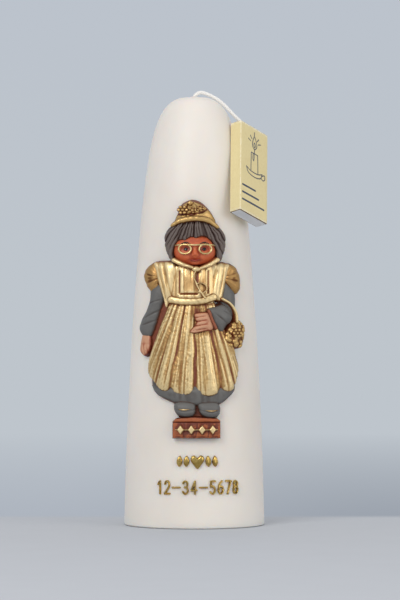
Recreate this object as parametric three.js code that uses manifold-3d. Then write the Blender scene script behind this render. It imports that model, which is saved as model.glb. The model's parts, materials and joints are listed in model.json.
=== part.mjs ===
// A round-topped celebration candle with a relief figure on its front
// and a slim matchbox that hangs from the free end of the wick.
// Millimetres, +Z up. The origin is the middle of the base; the figure faces -Y.

import * as THREE from "three";
import { mergeVertices } from "three/addons/utils/BufferGeometryUtils.js";
import Module from "manifold-3d";

const wasm = await Module();
wasm.setup();

// ---- driving dimensions ----

const seatGap = 0.3; // clearance between pieces that rest on each other

const candleHeight = 250;
const baseRadius = 41;
const taperStart = 0.115; // share of the base radius lost by a straight taper
const taperBelly = 0.305; // share lost by the curve that steepens towards the top
const domeFlatness = 15; // a higher power keeps the shoulder later and the dome flatter
const domeShare = 0.32; // exponent that rounds the shoulder
const footRound = 0.8; // softened lower edge
const candleSides = 48;
const candleRings = 16;
const ringCrowding = 2.5; // crowds the rings towards the dome

const wickDiameter = 2.1;
const wickBoreClearance = 0.3;
const wickBoreFoot = 8; // wax left under the blind bore
const wickTopRecess = 0.8;
const wickSides = 8;
const wickSteps = 12;
// The free end of the wick: out of the bore, over the dome and down into the matchbox.
const wickRoute = [
  [0, 0, 250.2],
  [0.7, 0, 251.2],
  [2, 0, 252.2],
  [3.9, 0, 252.7],
  [5.9, 0, 252.3],
  [8, -0.1, 251.5],
  [10.6, -0.2, 250.3],
  [14.2, -0.4, 248.1],
  [17.6, -0.7, 245.2],
  [20.6, -1, 242],
  [23.8, -1.4, 238.7],
  [27, -1.9, 235.5],
  [29.6, -2.3, 233],
  [32.1, -2.7, 230.6],
];

const boxWidth = 26;
const boxThickness = 7.7;
const boxLength = 56.8;
const cardWall = 0.55;
const trayClearance = 0.3; // between the tray and the sleeve, all round
const trayWall = 0.5;
const trayProud = 0.4; // how far the tray's foot stands out of the sleeve
const wickPocket = 2.5; // free depth inside the sleeve's top end, where the wick goes in
const pivotDrop = 19.2; // from the candle's top down to the middle of the box's top end
const pivotAcross = 16.5; // from the line where the box touches the wax
const boxHeading = 54.4; // degrees, turned about the candle's axis from facing the front
const boxLean = 13.2; // degrees, top end tipped back along the wax
const boxRoll = 18.9; // degrees, foot swung towards the front
const strikerWidth = 5.2;
const strikerThickness = 0.4;
const strikerEndMargin = 2;

const matchCount = 5;
const matchLength = 48;
const matchThickness = 2;
const matchHeadDiameter = 3;
const matchHeadLength = 4.6;
const matchEndClearance = 1.2;
const matchPitch = 4.3;

const figureBase = 52; // height of the plinth's foot on the candle
const figureHeight = 136.5;
const drawnHeight = 136.5; // height of the figure as its outlines are drawn below
const figureScale = figureHeight / drawnHeight;
const faceHeight = 7.2; // of the middle of the face above the wax

const longestSide = 6; // of a relief piece's facets, so that they follow the round wax

const numeralHeight = 8.3;
const numeralWidth = 4.2;
const dashWidth = 5.4;
const glyphSpace = 0.6;
const strokeWidth = 1.1;
const letteringDepth = 1.1;
const numeralRowFoot = 19.6; // height of the lowest edge of the numerals
const numeralRowCentre = 2.2; // arc length to the right of the front line
const ornamentRowMiddle = 38.4;
const ornamentRowCentre = 1.8;

// ---- materials ----

const paint = (color, roughness, metalness = 0) =>
  new THREE.MeshStandardMaterial({ color, roughness, metalness });
const whiteWax = () => paint("#e9e3da", 0.45);
const cotton = () => paint("#eceae4", 0.9);
const printedCard = () => paint("#e5d6a5", 0.6);
const whiteCard = () => paint("#e6e6e2", 0.8);
const strikerGrit = () => paint("#5a3a30", 0.95);
const matchWood = () => paint("#dcc193", 0.8);
const goldPaint = () => paint("#caae83", 0.38, 0.8);
const greyPaint = () => paint("#5f5d5e", 0.55);
const clayPaint = () => paint("#b05333", 0.55);
const letterGold = () => paint("#96803f", 0.35, 0.8);

// ---- solids: joining and cutting ----

function toSolid(geometry) {
  const bare = geometry.clone();
  bare.deleteAttribute("normal");
  bare.deleteAttribute("uv");
  const merged = mergeVertices(bare, 1e-4);
  const vertProperties = Float32Array.from(merged.attributes.position.array);
  const triVerts = Uint32Array.from(merged.index.array);
  return new wasm.Manifold(new wasm.Mesh({ numProp: 3, vertProperties, triVerts }));
}

function toGeometry(solid) {
  const mesh = solid.getMesh();
  const geometry = new THREE.BufferGeometry();
  geometry.setAttribute("position", new THREE.BufferAttribute(Float32Array.from(mesh.vertProperties), 3));
  geometry.setIndex(Array.from(mesh.triVerts));
  geometry.computeVertexNormals();
  return geometry;
}

// A cut can leave crumbs beside the piece, and only the piece is kept.
function largestBody(solid) {
  const bodies = solid.decompose();
  return bodies.reduce((best, body) => (body.volume() > best.volume() ? body : best));
}

const joinAll = (geometries) => geometries.map(toSolid).reduce((whole, next) => whole.add(next));

function piece(name, geometry, material) {
  const mesh = new THREE.Mesh(geometry, material);
  mesh.name = name;
  return mesh;
}

// ---- the wax surface ----

function waxRadius(height) {
  const share = Math.min(Math.max(height / candleHeight, 0), 1);
  const taper = baseRadius * (1 - taperStart * share - taperBelly * share * share);
  return taper * (1 - share ** domeFlatness) ** domeShare;
}

// Furthest reach of the wax in a direction given by its level share and its rise.
function waxReach(level, rise) {
  const samples = 400;
  let furthest = 0;
  for (let i = 0; i <= samples; i += 1) {
    const height = (candleHeight * i) / samples;
    furthest = Math.max(furthest, waxRadius(height) * level + height * rise);
  }
  return furthest;
}

// Relief is drawn flat: x runs round the wax, z up it, and -y stands out of it.
function wrapOnWax(geometry) {
  const wrapped = geometry.clone();
  const position = wrapped.attributes.position;
  for (let i = 0; i < position.count; i += 1) {
    const height = position.getZ(i);
    const radius = waxRadius(height);
    const angle = position.getX(i) / radius;
    const reach = radius - position.getY(i);
    position.setXYZ(i, reach * Math.sin(angle), -reach * Math.cos(angle), height);
  }
  wrapped.computeVertexNormals();
  return wrapped;
}

// ---- relief shapes, drawn flat ----

function closedStack(rings) {
  const positions = [];
  const starts = rings.map((ring) => {
    const start = positions.length / 3;
    ring.forEach((point) => positions.push(...point));
    return start;
  });
  const index = [];
  for (let level = 0; level + 1 < rings.length; level += 1) {
    const lower = rings[level];
    const upper = rings[level + 1];
    const count = Math.max(lower.length, upper.length);
    for (let i = 0; i < count; i += 1) {
      const next = (i + 1) % count;
      const lowerStep = (k) => starts[level] + (k % lower.length);
      const upperStep = (k) => starts[level + 1] + (k % upper.length);
      if (lower.length > 1) {
        index.push(lowerStep(i), lowerStep(next), upperStep(i));
      }
      if (upper.length > 1) {
        index.push(lowerStep(next), upperStep(next), upperStep(i));
      }
    }
  }
  const geometry = new THREE.BufferGeometry();
  geometry.setAttribute("position", new THREE.BufferAttribute(Float32Array.from(positions), 3));
  geometry.setIndex(index);
  return geometry;
}

function isClockwise(outline) {
  let twiceArea = 0;
  outline.forEach(([x, z], i) => {
    const [nextX, nextZ] = outline[(i + 1) % outline.length];
    twiceArea += x * nextZ - nextX * z;
  });
  return twiceArea < 0;
}

function counterClockwise(outline) {
  return isClockwise(outline) ? [...outline].reverse() : outline;
}

// Moves every side of an outline outwards by the same distance.
function grownOutline(outline, grow) {
  return outline.map((point, i) => {
    const before = outline[(i + outline.length - 1) % outline.length];
    const after = outline[(i + 1) % outline.length];
    const into = new THREE.Vector2(point[0] - before[0], point[1] - before[1]).normalize();
    const out = new THREE.Vector2(after[0] - point[0], after[1] - point[1]).normalize();
    const side = new THREE.Vector2(into.y + out.y, -into.x - out.x).normalize();
    const stretch = Math.max(side.x * into.y - side.y * into.x, 0.5);
    return [point[0] + (side.x * grow) / stretch, point[1] + (side.y * grow) / stretch];
  });
}

// Adds points along long sides, so that the piece can follow the round wax.
function dividedOutline(outline) {
  return outline.flatMap(([x, z], i) => {
    const [nextX, nextZ] = outline[(i + 1) % outline.length];
    const parts = Math.ceil(Math.hypot(nextX - x, nextZ - z) / longestSide);
    return Array.from({ length: parts }, (_, k) => [
      x + ((nextX - x) * k) / parts,
      z + ((nextZ - z) * k) / parts,
    ]);
  });
}

// A domed piece: an outline that stands up to its rim and swells to its middle.
function domeFlat({ outline, floor = seatGap, rim, crown }, grow) {
  const edge = dividedOutline(grownOutline(counterClockwise(outline), grow));
  const middle = [0, 1].map((axis) => edge.reduce((sum, point) => sum + point[axis], 0) / edge.length);
  const ring = (share, depth) =>
    edge.map(([x, z]) => [
      middle[0] + (x - middle[0]) * share,
      -depth,
      middle[1] + (z - middle[1]) * share,
    ]);
  const back = floor - grow;
  const front = (share) => rim + crown * (1 - share ** 3) + grow;
  const reach = Math.max(...edge.map(([x]) => Math.abs(x - middle[0])));
  const ringCount = Math.ceil(reach / longestSide);
  const shares = Array.from({ length: ringCount }, (_, i) => (i + 1) / ringCount);
  return closedStack([
    [[middle[0], -back, middle[1]]],
    ...shares.map((share) => ring(share, back)),
    ...shares.reverse().map((share) => ring(share, front(share))),
    [[middle[0], -front(0), middle[1]]],
  ]);
}

// A band of even width along a path, with square edges.
function bandFlat({ path, width, floor = seatGap, top }, grow) {
  const curve = new THREE.CatmullRomCurve3(path.map(([x, z]) => new THREE.Vector3(x, 0, z)));
  const steps = Math.max(3, Math.round(curve.getLength() / 3));
  const half = width / 2 + grow;
  const sections = [];
  for (let i = 0; i <= steps; i += 1) {
    const at = curve.getPointAt(i / steps);
    const along = curve.getTangentAt(i / steps);
    if (i === 0) at.addScaledVector(along, -grow);
    if (i === steps) at.addScaledVector(along, grow);
    const left = [at.x - along.z * half, at.z + along.x * half];
    const right = [at.x + along.z * half, at.z - along.x * half];
    sections.push([
      [left[0], -(top + grow), left[1]],
      [right[0], -(top + grow), right[1]],
      [right[0], -(floor - grow), right[1]],
      [left[0], -(floor - grow), left[1]],
    ]);
  }
  const centreOf = (section) =>
    [0, 1, 2].map((axis) => section.reduce((sum, point) => sum + point[axis], 0) / section.length);
  return closedStack([[centreOf(sections[0])], ...sections, [centreOf(sections.at(-1))]]);
}

// A flat stroke with square ends, as in a raised numeral.
function strokeFlat(points, width, floor, depth) {
  const side = (sign) =>
    points.map((point, i) => {
      const before = points[Math.max(i - 1, 0)];
      const after = points[Math.min(i + 1, points.length - 1)];
      const into = new THREE.Vector2(point[0] - before[0], point[1] - before[1]).normalize();
      const out = new THREE.Vector2(after[0] - point[0], after[1] - point[1]).normalize();
      const along = into.clone().add(out).normalize();
      const lean = Math.max(along.dot(i === 0 ? out : into), 0.6);
      const reach = (sign * width) / 2 / lean;
      return new THREE.Vector2(point[0] - along.y * reach, point[1] + along.x * reach);
    });
  const shape = new THREE.Shape([...side(1), ...side(-1).reverse()]);
  const geometry = new THREE.ExtrudeGeometry(shape, { depth, bevelEnabled: false });
  geometry.rotateX(Math.PI / 2);
  geometry.translate(0, -floor, 0);
  return geometry;
}

// ---- the candle ----

function candleBody() {
  const outline = [new THREE.Vector2(0, 0), new THREE.Vector2(baseRadius - footRound, 0)];
  outline.push(new THREE.Vector2(waxRadius(footRound), footRound));
  for (let i = 1; i < candleRings; i += 1) {
    const height = candleHeight * (1 - (1 - i / candleRings) ** ringCrowding);
    outline.push(new THREE.Vector2(waxRadius(height), height));
  }
  outline.push(new THREE.Vector2(0, candleHeight));
  const lathe = new THREE.LatheGeometry(outline, candleSides);
  lathe.rotateX(Math.PI / 2);
  const boreRadius = wickDiameter / 2 + wickBoreClearance;
  const bore = new THREE.CylinderGeometry(boreRadius, boreRadius, candleHeight, wickSides * 2);
  bore.rotateX(Math.PI / 2);
  bore.translate(0, 0, wickBoreFoot + candleHeight / 2);
  return piece("candle_body", toGeometry(toSolid(lathe).subtract(toSolid(bore))), whiteWax());
}

function wickCore() {
  const foot = wickBoreFoot + seatGap;
  const length = candleHeight - wickTopRecess - foot;
  const core = new THREE.CylinderGeometry(wickDiameter / 2, wickDiameter / 2, length, wickSides);
  core.rotateX(Math.PI / 2);
  core.translate(0, 0, foot + length / 2);
  return piece("wick_core", core, cotton());
}

function wickTail() {
  const section = new THREE.Shape();
  section.absarc(0, 0, wickDiameter / 2, 0, 2 * Math.PI);
  const route = new THREE.CatmullRomCurve3(wickRoute.map((point) => new THREE.Vector3(...point)));
  const tail = new THREE.ExtrudeGeometry(section, {
    steps: wickSteps,
    curveSegments: wickSides,
    extrudePath: route,
    bevelEnabled: false,
  });
  return piece("wick_tail", tail, cotton());
}

// ---- the matchbox, drawn with its pivot at the middle of its top end ----
// x runs across its wide face, y towards the candle, z up its length.

function block(width, depth, height, x, y, z) {
  const box = new THREE.BoxGeometry(width, depth, height);
  box.translate(x, y, z);
  return box;
}

function matchboxSleeve() {
  const outer = block(boxWidth, boxThickness, boxLength, 0, 0, -boxLength / 2);
  const inside = block(boxWidth - 2 * cardWall, boxThickness - 2 * cardWall, boxLength * 1.2, 0, 0, -boxLength / 2);
  return piece("matchbox_sleeve", toGeometry(toSolid(outer).subtract(toSolid(inside))), printedCard());
}

const trayWidth = boxWidth - 2 * (cardWall + trayClearance);
const trayThickness = boxThickness - 2 * (cardWall + trayClearance);
const trayLength = boxLength - wickPocket + trayProud;
const trayMiddle = -wickPocket - trayLength / 2;

function matchboxTray() {
  const outer = block(trayWidth, trayThickness, trayLength, 0, 0, trayMiddle);
  const pocket = block(
    trayWidth - 2 * trayWall, trayThickness, trayLength - 2 * trayWall, 0, -trayWall, trayMiddle,
  );
  return piece("matchbox_tray", toGeometry(toSolid(outer).subtract(toSolid(pocket))), whiteCard());
}

function strikerStrip() {
  const x = boxWidth / 2 + seatGap + strikerThickness / 2;
  const length = boxLength - 2 * strikerEndMargin;
  const strip = block(strikerThickness, strikerWidth, length, x, 0, -boxLength / 2);
  return piece("matchbox_striker_strip", strip, strikerGrit());
}

function matchSticks() {
  const trayFoot = trayMiddle - trayLength / 2 + trayWall;
  const headMiddle = trayFoot + matchEndClearance + matchHeadLength / 2;
  const y = trayThickness / 2 - trayWall - seatGap - matchHeadDiameter / 2;
  return Array.from({ length: matchCount }, (_, i) => {
    const x = (i - (matchCount - 1) / 2) * matchPitch;
    const stick = block(matchThickness, matchThickness, matchLength, x, y, headMiddle + matchLength / 2);
    const head = new THREE.SphereGeometry(0.5, 10, 8);
    head.rotateX(Math.PI / 2);
    head.scale(matchHeadDiameter, matchHeadDiameter, matchHeadLength);
    head.translate(x, y, headMiddle);
    return piece(`match_${i + 1}`, toGeometry(joinAll([stick, head])), matchWood());
  });
}

// The box lies against the wax: its back touches along one line of the taper.
function matchboxGroup() {
  const group = new THREE.Group();
  const degree = Math.PI / 180;
  group.rotation.set(-boxLean * degree, boxRoll * degree, boxHeading * degree, "ZXY");
  const across = new THREE.Vector3(Math.cos(boxHeading * degree), Math.sin(boxHeading * degree), 0);
  const level = Math.cos(boxLean * degree);
  const rise = Math.sin(boxLean * degree);
  const outward = new THREE.Vector3(across.y * level, -across.x * level, rise);
  const upward = new THREE.Vector3().crossVectors(outward, across).negate();
  const standOff = waxReach(level, rise) + seatGap + boxThickness / 2;
  const climb = (candleHeight - pivotDrop - standOff * rise) / upward.z;
  group.position.addScaledVector(outward, standOff);
  group.position.addScaledVector(across, pivotAcross);
  group.position.addScaledVector(upward, climb);
  group.add(matchboxSleeve(), strikerStrip(), matchboxTray(), ...matchSticks());
  return group;
}

// ---- the relief figure ----
// Outlines are [across, up] from the front line and the plinth's foot.
// rim and crown are the heights above the wax at the edge and in the middle.

const figureDomes = [
  { name: "hair", paint: greyPaint, rim: 2.4, crown: 3.6, outline: [
    [-12, 121.5], [-15, 117.5], [-15.5, 112], [-14.5, 107], [-12.5, 102], [-11, 100],
    [12.5, 100], [14.5, 103], [16, 108], [16.5, 113], [15.5, 117.5], [13, 121], [7.5, 124],
    [0.5, 125], [-7, 123.8],
  ] },
  { name: "hat_crown", paint: goldPaint, rim: 3, crown: 4.6, outline: [
    [-1.5, 136.5], [2.5, 135.6], [5.5, 133.5], [8, 130.8], [10, 127.5], [11.5, 123.5],
    [9.5, 121.3], [5, 123], [0.5, 123.8], [-4, 123.2], [-8.5, 121.8], [-10.8, 122],
    [-10.2, 126], [-8.8, 129], [-8.2, 132], [-6.5, 134.2], [-4, 135.6],
  ] },
  { name: "face", paint: clayPaint, rim: 3.4, crown: faceHeight - 3.4, outline: [
    [-7.5, 114], [-9.8, 111.5], [-10.8, 108], [-10.2, 104], [-7.8, 101.2], [-4, 99.6], [0.5, 99],
    [5, 99.6], [8.8, 101.4], [11, 104.6], [11.2, 109], [9, 113.2], [4, 115.4], [-2, 115.6],
  ] },
  { name: "puff_sleeve_left", paint: goldPaint, rim: 2, crown: 3.2, outline: [
    [-22.5, 100.8], [-26.5, 98.8], [-29, 95.5], [-29.5, 92], [-28, 88.5], [-25.5, 85.5],
    [-23, 83.5], [-20.5, 86.5], [-20.5, 92], [-21, 97],
  ] },
  { name: "puff_sleeve_right", paint: goldPaint, rim: 2, crown: 3.2, outline: [
    [19.5, 99.5], [23, 98.5], [25.3, 94.5], [26.3, 90], [25.5, 85], [23.5, 82.6], [19.8, 85.5],
    [17, 89], [17.2, 94],
  ] },
  { name: "sleeve_left", paint: greyPaint, rim: 2.2, crown: 3, outline: [
    [-24.5, 87.5], [-18, 88], [-17.5, 83], [-18.6, 79], [-19.5, 72.5], [-20.5, 66], [-22.6, 60.5],
    [-24.5, 57.8], [-28.5, 57.8], [-32, 59.5], [-33.2, 63], [-31.5, 68], [-28.2, 73], [-26, 80],
  ] },
  { name: "hand_left", paint: clayPaint, rim: 2, crown: 2.2, outline: [
    [-29.5, 58.4], [-24.5, 58.4], [-23.4, 55], [-24, 51.5], [-26, 48.2], [-28.6, 47], [-31.4, 49],
    [-32, 52.5], [-31, 56],
  ] },
  { name: "upper_sleeve_right", paint: greyPaint, rim: 2.2, crown: 3, outline: [
    [17, 90], [21, 86.5], [23.6, 83.5], [24.2, 78], [23.4, 73], [21.8, 69.5], [18.5, 71],
    [15.5, 76], [14.8, 82],
  ] },
  { name: "skirt_hem", paint: greyPaint, rim: 2.4, crown: 2, outline: [
    [-23.5, 37.5], [-25.3, 33.5], [-24.8, 29], [-22.2, 25.6], [-18.5, 23.4], [-14, 21.5], [-9.5, 19.8],
    [0, 18.6], [8, 18.4], [13.8, 19.4], [18, 21.8], [21.6, 25], [23.8, 28.5], [24, 33], [22.5, 37.5],
  ] },
  { name: "shoulder_frill_left", paint: goldPaint, rim: 3.2, crown: 2, outline: [
    [-22.5, 100.6], [-17, 101.4], [-11, 101], [-10, 98], [-10.5, 92], [-11.5, 86], [-13.2, 79.5],
    [-14.8, 74.5], [-16.8, 80.5], [-19, 87], [-21, 94],
  ] },
  { name: "shoulder_frill_right", paint: goldPaint, rim: 3.2, crown: 2, outline: [
    [9.5, 100.2], [13.5, 100.8], [19.5, 99.4], [18.4, 93.5], [17, 88], [16, 83], [15, 79.6],
    [12.4, 78.4], [9.8, 81.5], [9.4, 90],
  ] },
  { name: "bib", paint: goldPaint, rim: 3.8, crown: 2, outline: [
    [-10.5, 98.5], [-6, 99.5], [0.5, 98], [6, 99.5], [10, 99], [10.5, 89], [10.5, 80.5], [9.6, 77.4],
    [-11, 77], [-12, 80.5], [-12, 87], [-10.8, 93],
  ] },
  { name: "apron", paint: goldPaint, rim: 3.2, crown: 3.2, outline: [
    [-12, 77.5], [-14.2, 75], [-16.2, 70], [-18.6, 64.5], [-20.6, 58], [-22.6, 52], [-24.2, 46],
    [-25.2, 40], [-24.8, 36.5], [-22.6, 33], [-20.6, 29.8], [-17.2, 27.2], [-14.2, 27], [-12.4, 28.6],
    [-10.8, 26.4], [-7.5, 24.8], [-4, 24.6], [-1.2, 26], [0.2, 27.6], [2, 25.8], [5, 24.3], [8.5, 24],
    [12, 25.6], [13.8, 28.2], [16, 27], [19, 26.6], [21.4, 28], [23, 32], [24.4, 37], [24.8, 41.5],
    [23.4, 46.5], [22.2, 51], [20.6, 55], [17.5, 60.5], [14, 67], [12, 74.5], [10.5, 77.5],
  ] },
  { name: "plinth", paint: clayPaint, rim: 4.8, crown: 0.4, outline: [
    [-11.6, 9.5], [-9.5, 11.6], [0, 12], [12, 11.2], [14, 9.8], [14, 0], [1, 0], [-11.6, 0],
  ] },
  { name: "shoe_left", paint: greyPaint, rim: 3.4, crown: 3, outline: [
    [-10.2, 20], [-11, 17], [-9.6, 14], [-7, 12.3], [-3.5, 11.9], [-0.4, 12.8], [1, 15.5], [0.4, 19.2],
    [-4.5, 21],
  ] },
  { name: "shoe_right", paint: greyPaint, rim: 3.4, crown: 3, outline: [
    [2, 19.2], [2.2, 15.5], [4.5, 12.6], [8.5, 11.4], [12.2, 12], [14, 14.8], [13.8, 18.5], [11.5, 20.6],
    [6.5, 20.8],
  ] },
  { name: "hand_right", paint: clayPaint, rim: 3.6, crown: 2.8, outline: [
    [0.2, 71.6], [4.2, 72.4], [7.4, 71.5], [9.2, 66.5], [8.6, 62.2], [4.5, 61], [0, 60], [-2.4, 61],
    [-0.8, 63.4], [0.8, 66.2], [0, 69],
  ] },
  { name: "forearm_right", paint: greyPaint, rim: 3.6, crown: 3.4, outline: [
    [6.2, 74], [11.5, 76.2], [15, 77], [18.6, 74.5], [20.6, 69.6], [19.6, 66.4], [17, 64], [15, 60.6],
    [13, 60.8], [9.6, 64.2], [7.6, 68.6],
  ] },
  { name: "handbag", paint: goldPaint, rim: 3.2, crown: 3, outline: [
    [21.6, 67.4], [24.6, 67], [27, 64.2], [27.6, 60.4], [26.6, 56.6], [26, 52.6], [22.8, 51.4],
    [19, 51.8], [16, 53.6], [15.4, 56.6], [16, 60], [17.6, 63], [19.4, 65.6],
  ] },
];

const figureBands = [
  { name: "hat_brim", paint: goldPaint, width: 4.4, top: 8, path: [
    [-9.8, 122.2], [-6, 124], [0.5, 125.2], [6.5, 124.4], [11, 121.6],
  ] },
  { name: "collar_left", paint: goldPaint, width: 2.2, top: 7.4, path: [[-9.4, 101.8], [-5.4, 99.4], [-1.2, 98]] },
  { name: "collar_right", paint: goldPaint, width: 2.2, top: 7.4, path: [[11, 102], [7.4, 99.2], [3.2, 97.4]] },
  { name: "waistband", paint: goldPaint, width: 4.6, top: 6.9, path: [[-11.6, 78.6], [-4, 78.6], [3, 79], [9.4, 79.8]] },
  { name: "cuff_right", paint: clayPaint, width: 2, top: 7.6, path: [[6.6, 73.4], [8.2, 68], [10.6, 62.6]] },
];

// Pieces that lie on top of another piece of the figure.
const figureOverlays = [
  { name: "collar_knot", paint: goldPaint, floor: 2, rim: 7.6, crown: 0.8, outline: [
    [-0.6, 97.9], [1, 98.4], [2.8, 97.7], [3, 96.4], [1.2, 95.6], [-0.4, 96.2],
  ] },
  { name: "handbag_clasp", paint: goldPaint, floor: 6.4, rim: 7.2, crown: 1.2, outline: [
    [18.6, 61.6], [21.4, 63.6], [24.4, 62], [25, 58.6], [22.8, 56], [19.6, 56.4], [17.8, 58.8],
  ] },
];

const figureOverlayBands = [
  { name: "handbag_strap", paint: goldPaint, floor: 4.2, width: 1.7, top: 6.4, path: [
    [14.6, 79.4], [18.4, 76.4], [21.2, 71.4], [21.8, 67.4],
  ] },
];

const scaledPoint = ([across, up]) => [across * figureScale, figureBase + up * figureScale];

function placedDrawing(drawing) {
  const key = drawing.outline ? "outline" : "path";
  return { ...drawing, [key]: drawing[key].map(scaledPoint) };
}

const drawFlat = (drawing, grow) => (drawing.outline ? domeFlat(drawing, grow) : bandFlat(drawing, grow));

function flowerOutline(acrossMiddle, upMiddle, radius) {
  const petals = 5;
  const pointsPerPetal = 2;
  const count = petals * pointsPerPetal;
  return Array.from({ length: count }, (_, i) => {
    const angle = (2 * Math.PI * i) / count;
    const reach = i % pointsPerPetal ? radius * 0.72 : radius;
    return [acrossMiddle + reach * Math.cos(angle), upMiddle + reach * Math.sin(angle)];
  });
}

const hatFlowers = [[-5.6, 130.6], [-1, 129.2], [3.4, 131]].map(([across, up], i) => ({
  name: `hat_flower_${i + 1}`,
  paint: goldPaint,
  floor: 6,
  rim: 8,
  crown: 1.2,
  outline: flowerOutline(across, up, 2),
}));

// A round-rimmed pair of spectacles under one long bar, clear of the face's highest point.
function spectaclesFlat(grow) {
  const rimRadius = 3;
  const wireRadius = 0.45;
  const eyeSpacing = 10;
  const depth = faceHeight + seatGap + wireRadius;
  const [middleAcross, middleUp] = scaledPoint([0.4, 108.6]);
  const rims = [-1, 1].map((sideSign) => {
    const ring = new THREE.TorusGeometry(rimRadius, wireRadius + grow, 6, 14);
    ring.rotateX(Math.PI / 2);
    ring.translate(middleAcross + (sideSign * eyeSpacing) / 2, -depth, middleUp);
    return ring;
  });
  const barReach = eyeSpacing / 2 + rimRadius + 1.5;
  const barUp = middleUp + rimRadius * 0.8;
  const bar = bandFlat({
    path: [[middleAcross - barReach, barUp], [middleAcross + barReach, barUp]],
    width: 2 * wireRadius,
    floor: depth - wireRadius,
    top: depth + wireRadius,
  }, grow);
  return toGeometry(joinAll([...rims, bar]));
}

// A ribbon that hangs from the collar knot: two tails under a small bow.
function ribbonFlat(grow) {
  const band = (path) => bandFlat({ path: path.map(scaledPoint), width: 1.2, floor: 6.2, top: 7.2 }, grow);
  return toGeometry(joinAll([
    band([[0.8, 95], [1, 90], [1.8, 86.4], [4.6, 81.4]]),
    band([[1, 87.4], [4.4, 87.6], [5.4, 84.4], [2.6, 84.2]]),
  ]));
}

// Diamonds on a bar across the plinth's front.
function plinthOrnamentFlat(grow) {
  const [middleAcross, middleUp] = scaledPoint([1.2, 5]);
  const diamondCount = 4;
  const pitch = 5.4;
  const floor = 5.6;
  const top = 6.6;
  const diamonds = Array.from({ length: diamondCount }, (_, i) => {
    const across = middleAcross + (i - (diamondCount - 1) / 2) * pitch;
    const outline = [[across - 2, middleUp], [across, middleUp + 3], [across + 2, middleUp], [across, middleUp - 3]];
    return domeFlat({ outline, floor, rim: top, crown: 0.4 }, grow);
  });
  const reach = (diamondCount * pitch) / 2;
  const path = [[middleAcross - reach, middleUp], [middleAcross + reach, middleUp]];
  return toGeometry(joinAll([...diamonds, bandFlat({ path, width: 0.9, floor, top }, grow)]));
}

const flatPieces = [
  ...[...figureDomes, ...figureBands, ...figureOverlays, ...figureOverlayBands, ...hatFlowers].map((drawing) => ({
    name: drawing.name,
    paint: drawing.paint,
    flat: (grow) => drawFlat(placedDrawing(drawing), grow),
  })),
  { name: "spectacles", paint: goldPaint, flat: spectaclesFlat },
  { name: "ribbon", paint: goldPaint, flat: ribbonFlat },
  { name: "plinth_ornament", paint: goldPaint, flat: plinthOrnamentFlat },
];

// Each piece is cut back to clear every piece that is laid after it.
function figurePieces() {
  const solids = flatPieces.map(({ flat }) => toSolid(wrapOnWax(flat(0))));
  const cutters = flatPieces.map(({ flat }) => toSolid(wrapOnWax(flat(seatGap))));
  return flatPieces.map(({ name, paint: finish }, i) => {
    const cut = cutters.slice(i + 1).reduce((rest, cutter) => rest.subtract(cutter), solids[i]);
    return piece(name, toGeometry(largestBody(cut)), finish());
  });
}

// ---- the two rows of raised wax below the figure ----

// Strokes inside a box one wide and one high; a curved stroke is drawn through its points.
const straight = (...points) => ({ points, curved: false });
const curved = (...points) => ({ points, curved: true });
const loop = (x, z, halfWidth, halfHeight, from, to) => {
  const steps = 6;
  return curved(...Array.from({ length: steps + 1 }, (_, i) => {
    const angle = ((from + ((to - from) * i) / steps) * Math.PI) / 180;
    return [x + halfWidth * Math.cos(angle), z + halfHeight * Math.sin(angle)];
  }));
};
const numeralStrokes = {
  1: [straight([0.2, 0.74], [0.62, 1], [0.62, 0])],
  2: [loop(0.5, 0.72, 0.42, 0.28, 170, -30), straight([0.9, 0.62], [0.1, 0.06]), straight([0.02, 0.08], [0.98, 0.08])],
  3: [loop(0.46, 0.75, 0.4, 0.25, 160, -100), loop(0.46, 0.27, 0.46, 0.27, 100, -160)],
  4: [straight([0.7, 0], [0.7, 1]), straight([0.7, 0.94], [0.06, 0.3], [1, 0.3])],
  5: [straight([0.95, 0.94], [0.2, 0.94], [0.16, 0.52]), loop(0.46, 0.3, 0.46, 0.3, 130, -150)],
  6: [loop(0.5, 0.3, 0.44, 0.3, 0, 190), loop(0.5, 0.3, 0.44, 0.3, 170, 370), curved([0.06, 0.3], [0.24, 0.72], [0.74, 1])],
  7: [straight([0.02, 0.94], [0.92, 0.94], [0.36, 0])],
  8: [
    loop(0.5, 0.75, 0.36, 0.23, -10, 190), loop(0.5, 0.75, 0.36, 0.23, 170, 370),
    loop(0.5, 0.27, 0.44, 0.27, -10, 190), loop(0.5, 0.27, 0.44, 0.27, 170, 370),
  ],
};

function numeralFlat(strokes, left, foot) {
  const inset = strokeWidth / 2;
  const toPlace = ([x, z]) => [
    left + inset + x * (numeralWidth - strokeWidth),
    foot + inset + z * (numeralHeight - strokeWidth),
  ];
  const solids = strokes.map(({ points, curved: isCurved }) => {
    const placed = points.map(toPlace);
    const spline = new THREE.SplineCurve(placed.map(([x, z]) => new THREE.Vector2(x, z)));
    const drawn = isCurved ? spline.getPoints(8).map(({ x, y }) => [x, y]) : placed;
    return strokeFlat(drawn, strokeWidth, seatGap, letteringDepth);
  });
  return toGeometry(joinAll(solids));
}

function numeralRow() {
  const text = "12-34-5678";
  const widths = [...text].map((glyph) => (glyph === "-" ? dashWidth : numeralWidth));
  const total = widths.reduce((sum, width) => sum + width, 0) + glyphSpace * (text.length - 1);
  let left = numeralRowCentre - total / 2;
  let dashes = 0;
  return [...text].map((glyph, i) => {
    const start = left;
    left += widths[i] + glyphSpace;
    if (glyph !== "-") {
      const flat = numeralFlat(numeralStrokes[glyph], start, numeralRowFoot);
      return piece(`numeral_${glyph}`, wrapOnWax(flat), letterGold());
    }
    dashes += 1;
    const level = numeralRowFoot + numeralHeight / 2;
    const dash = strokeFlat([[start, level], [start + dashWidth, level]], strokeWidth, seatGap, letteringDepth);
    return piece(`dash_${dashes}`, wrapOnWax(dash), letterGold());
  });
}

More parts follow.
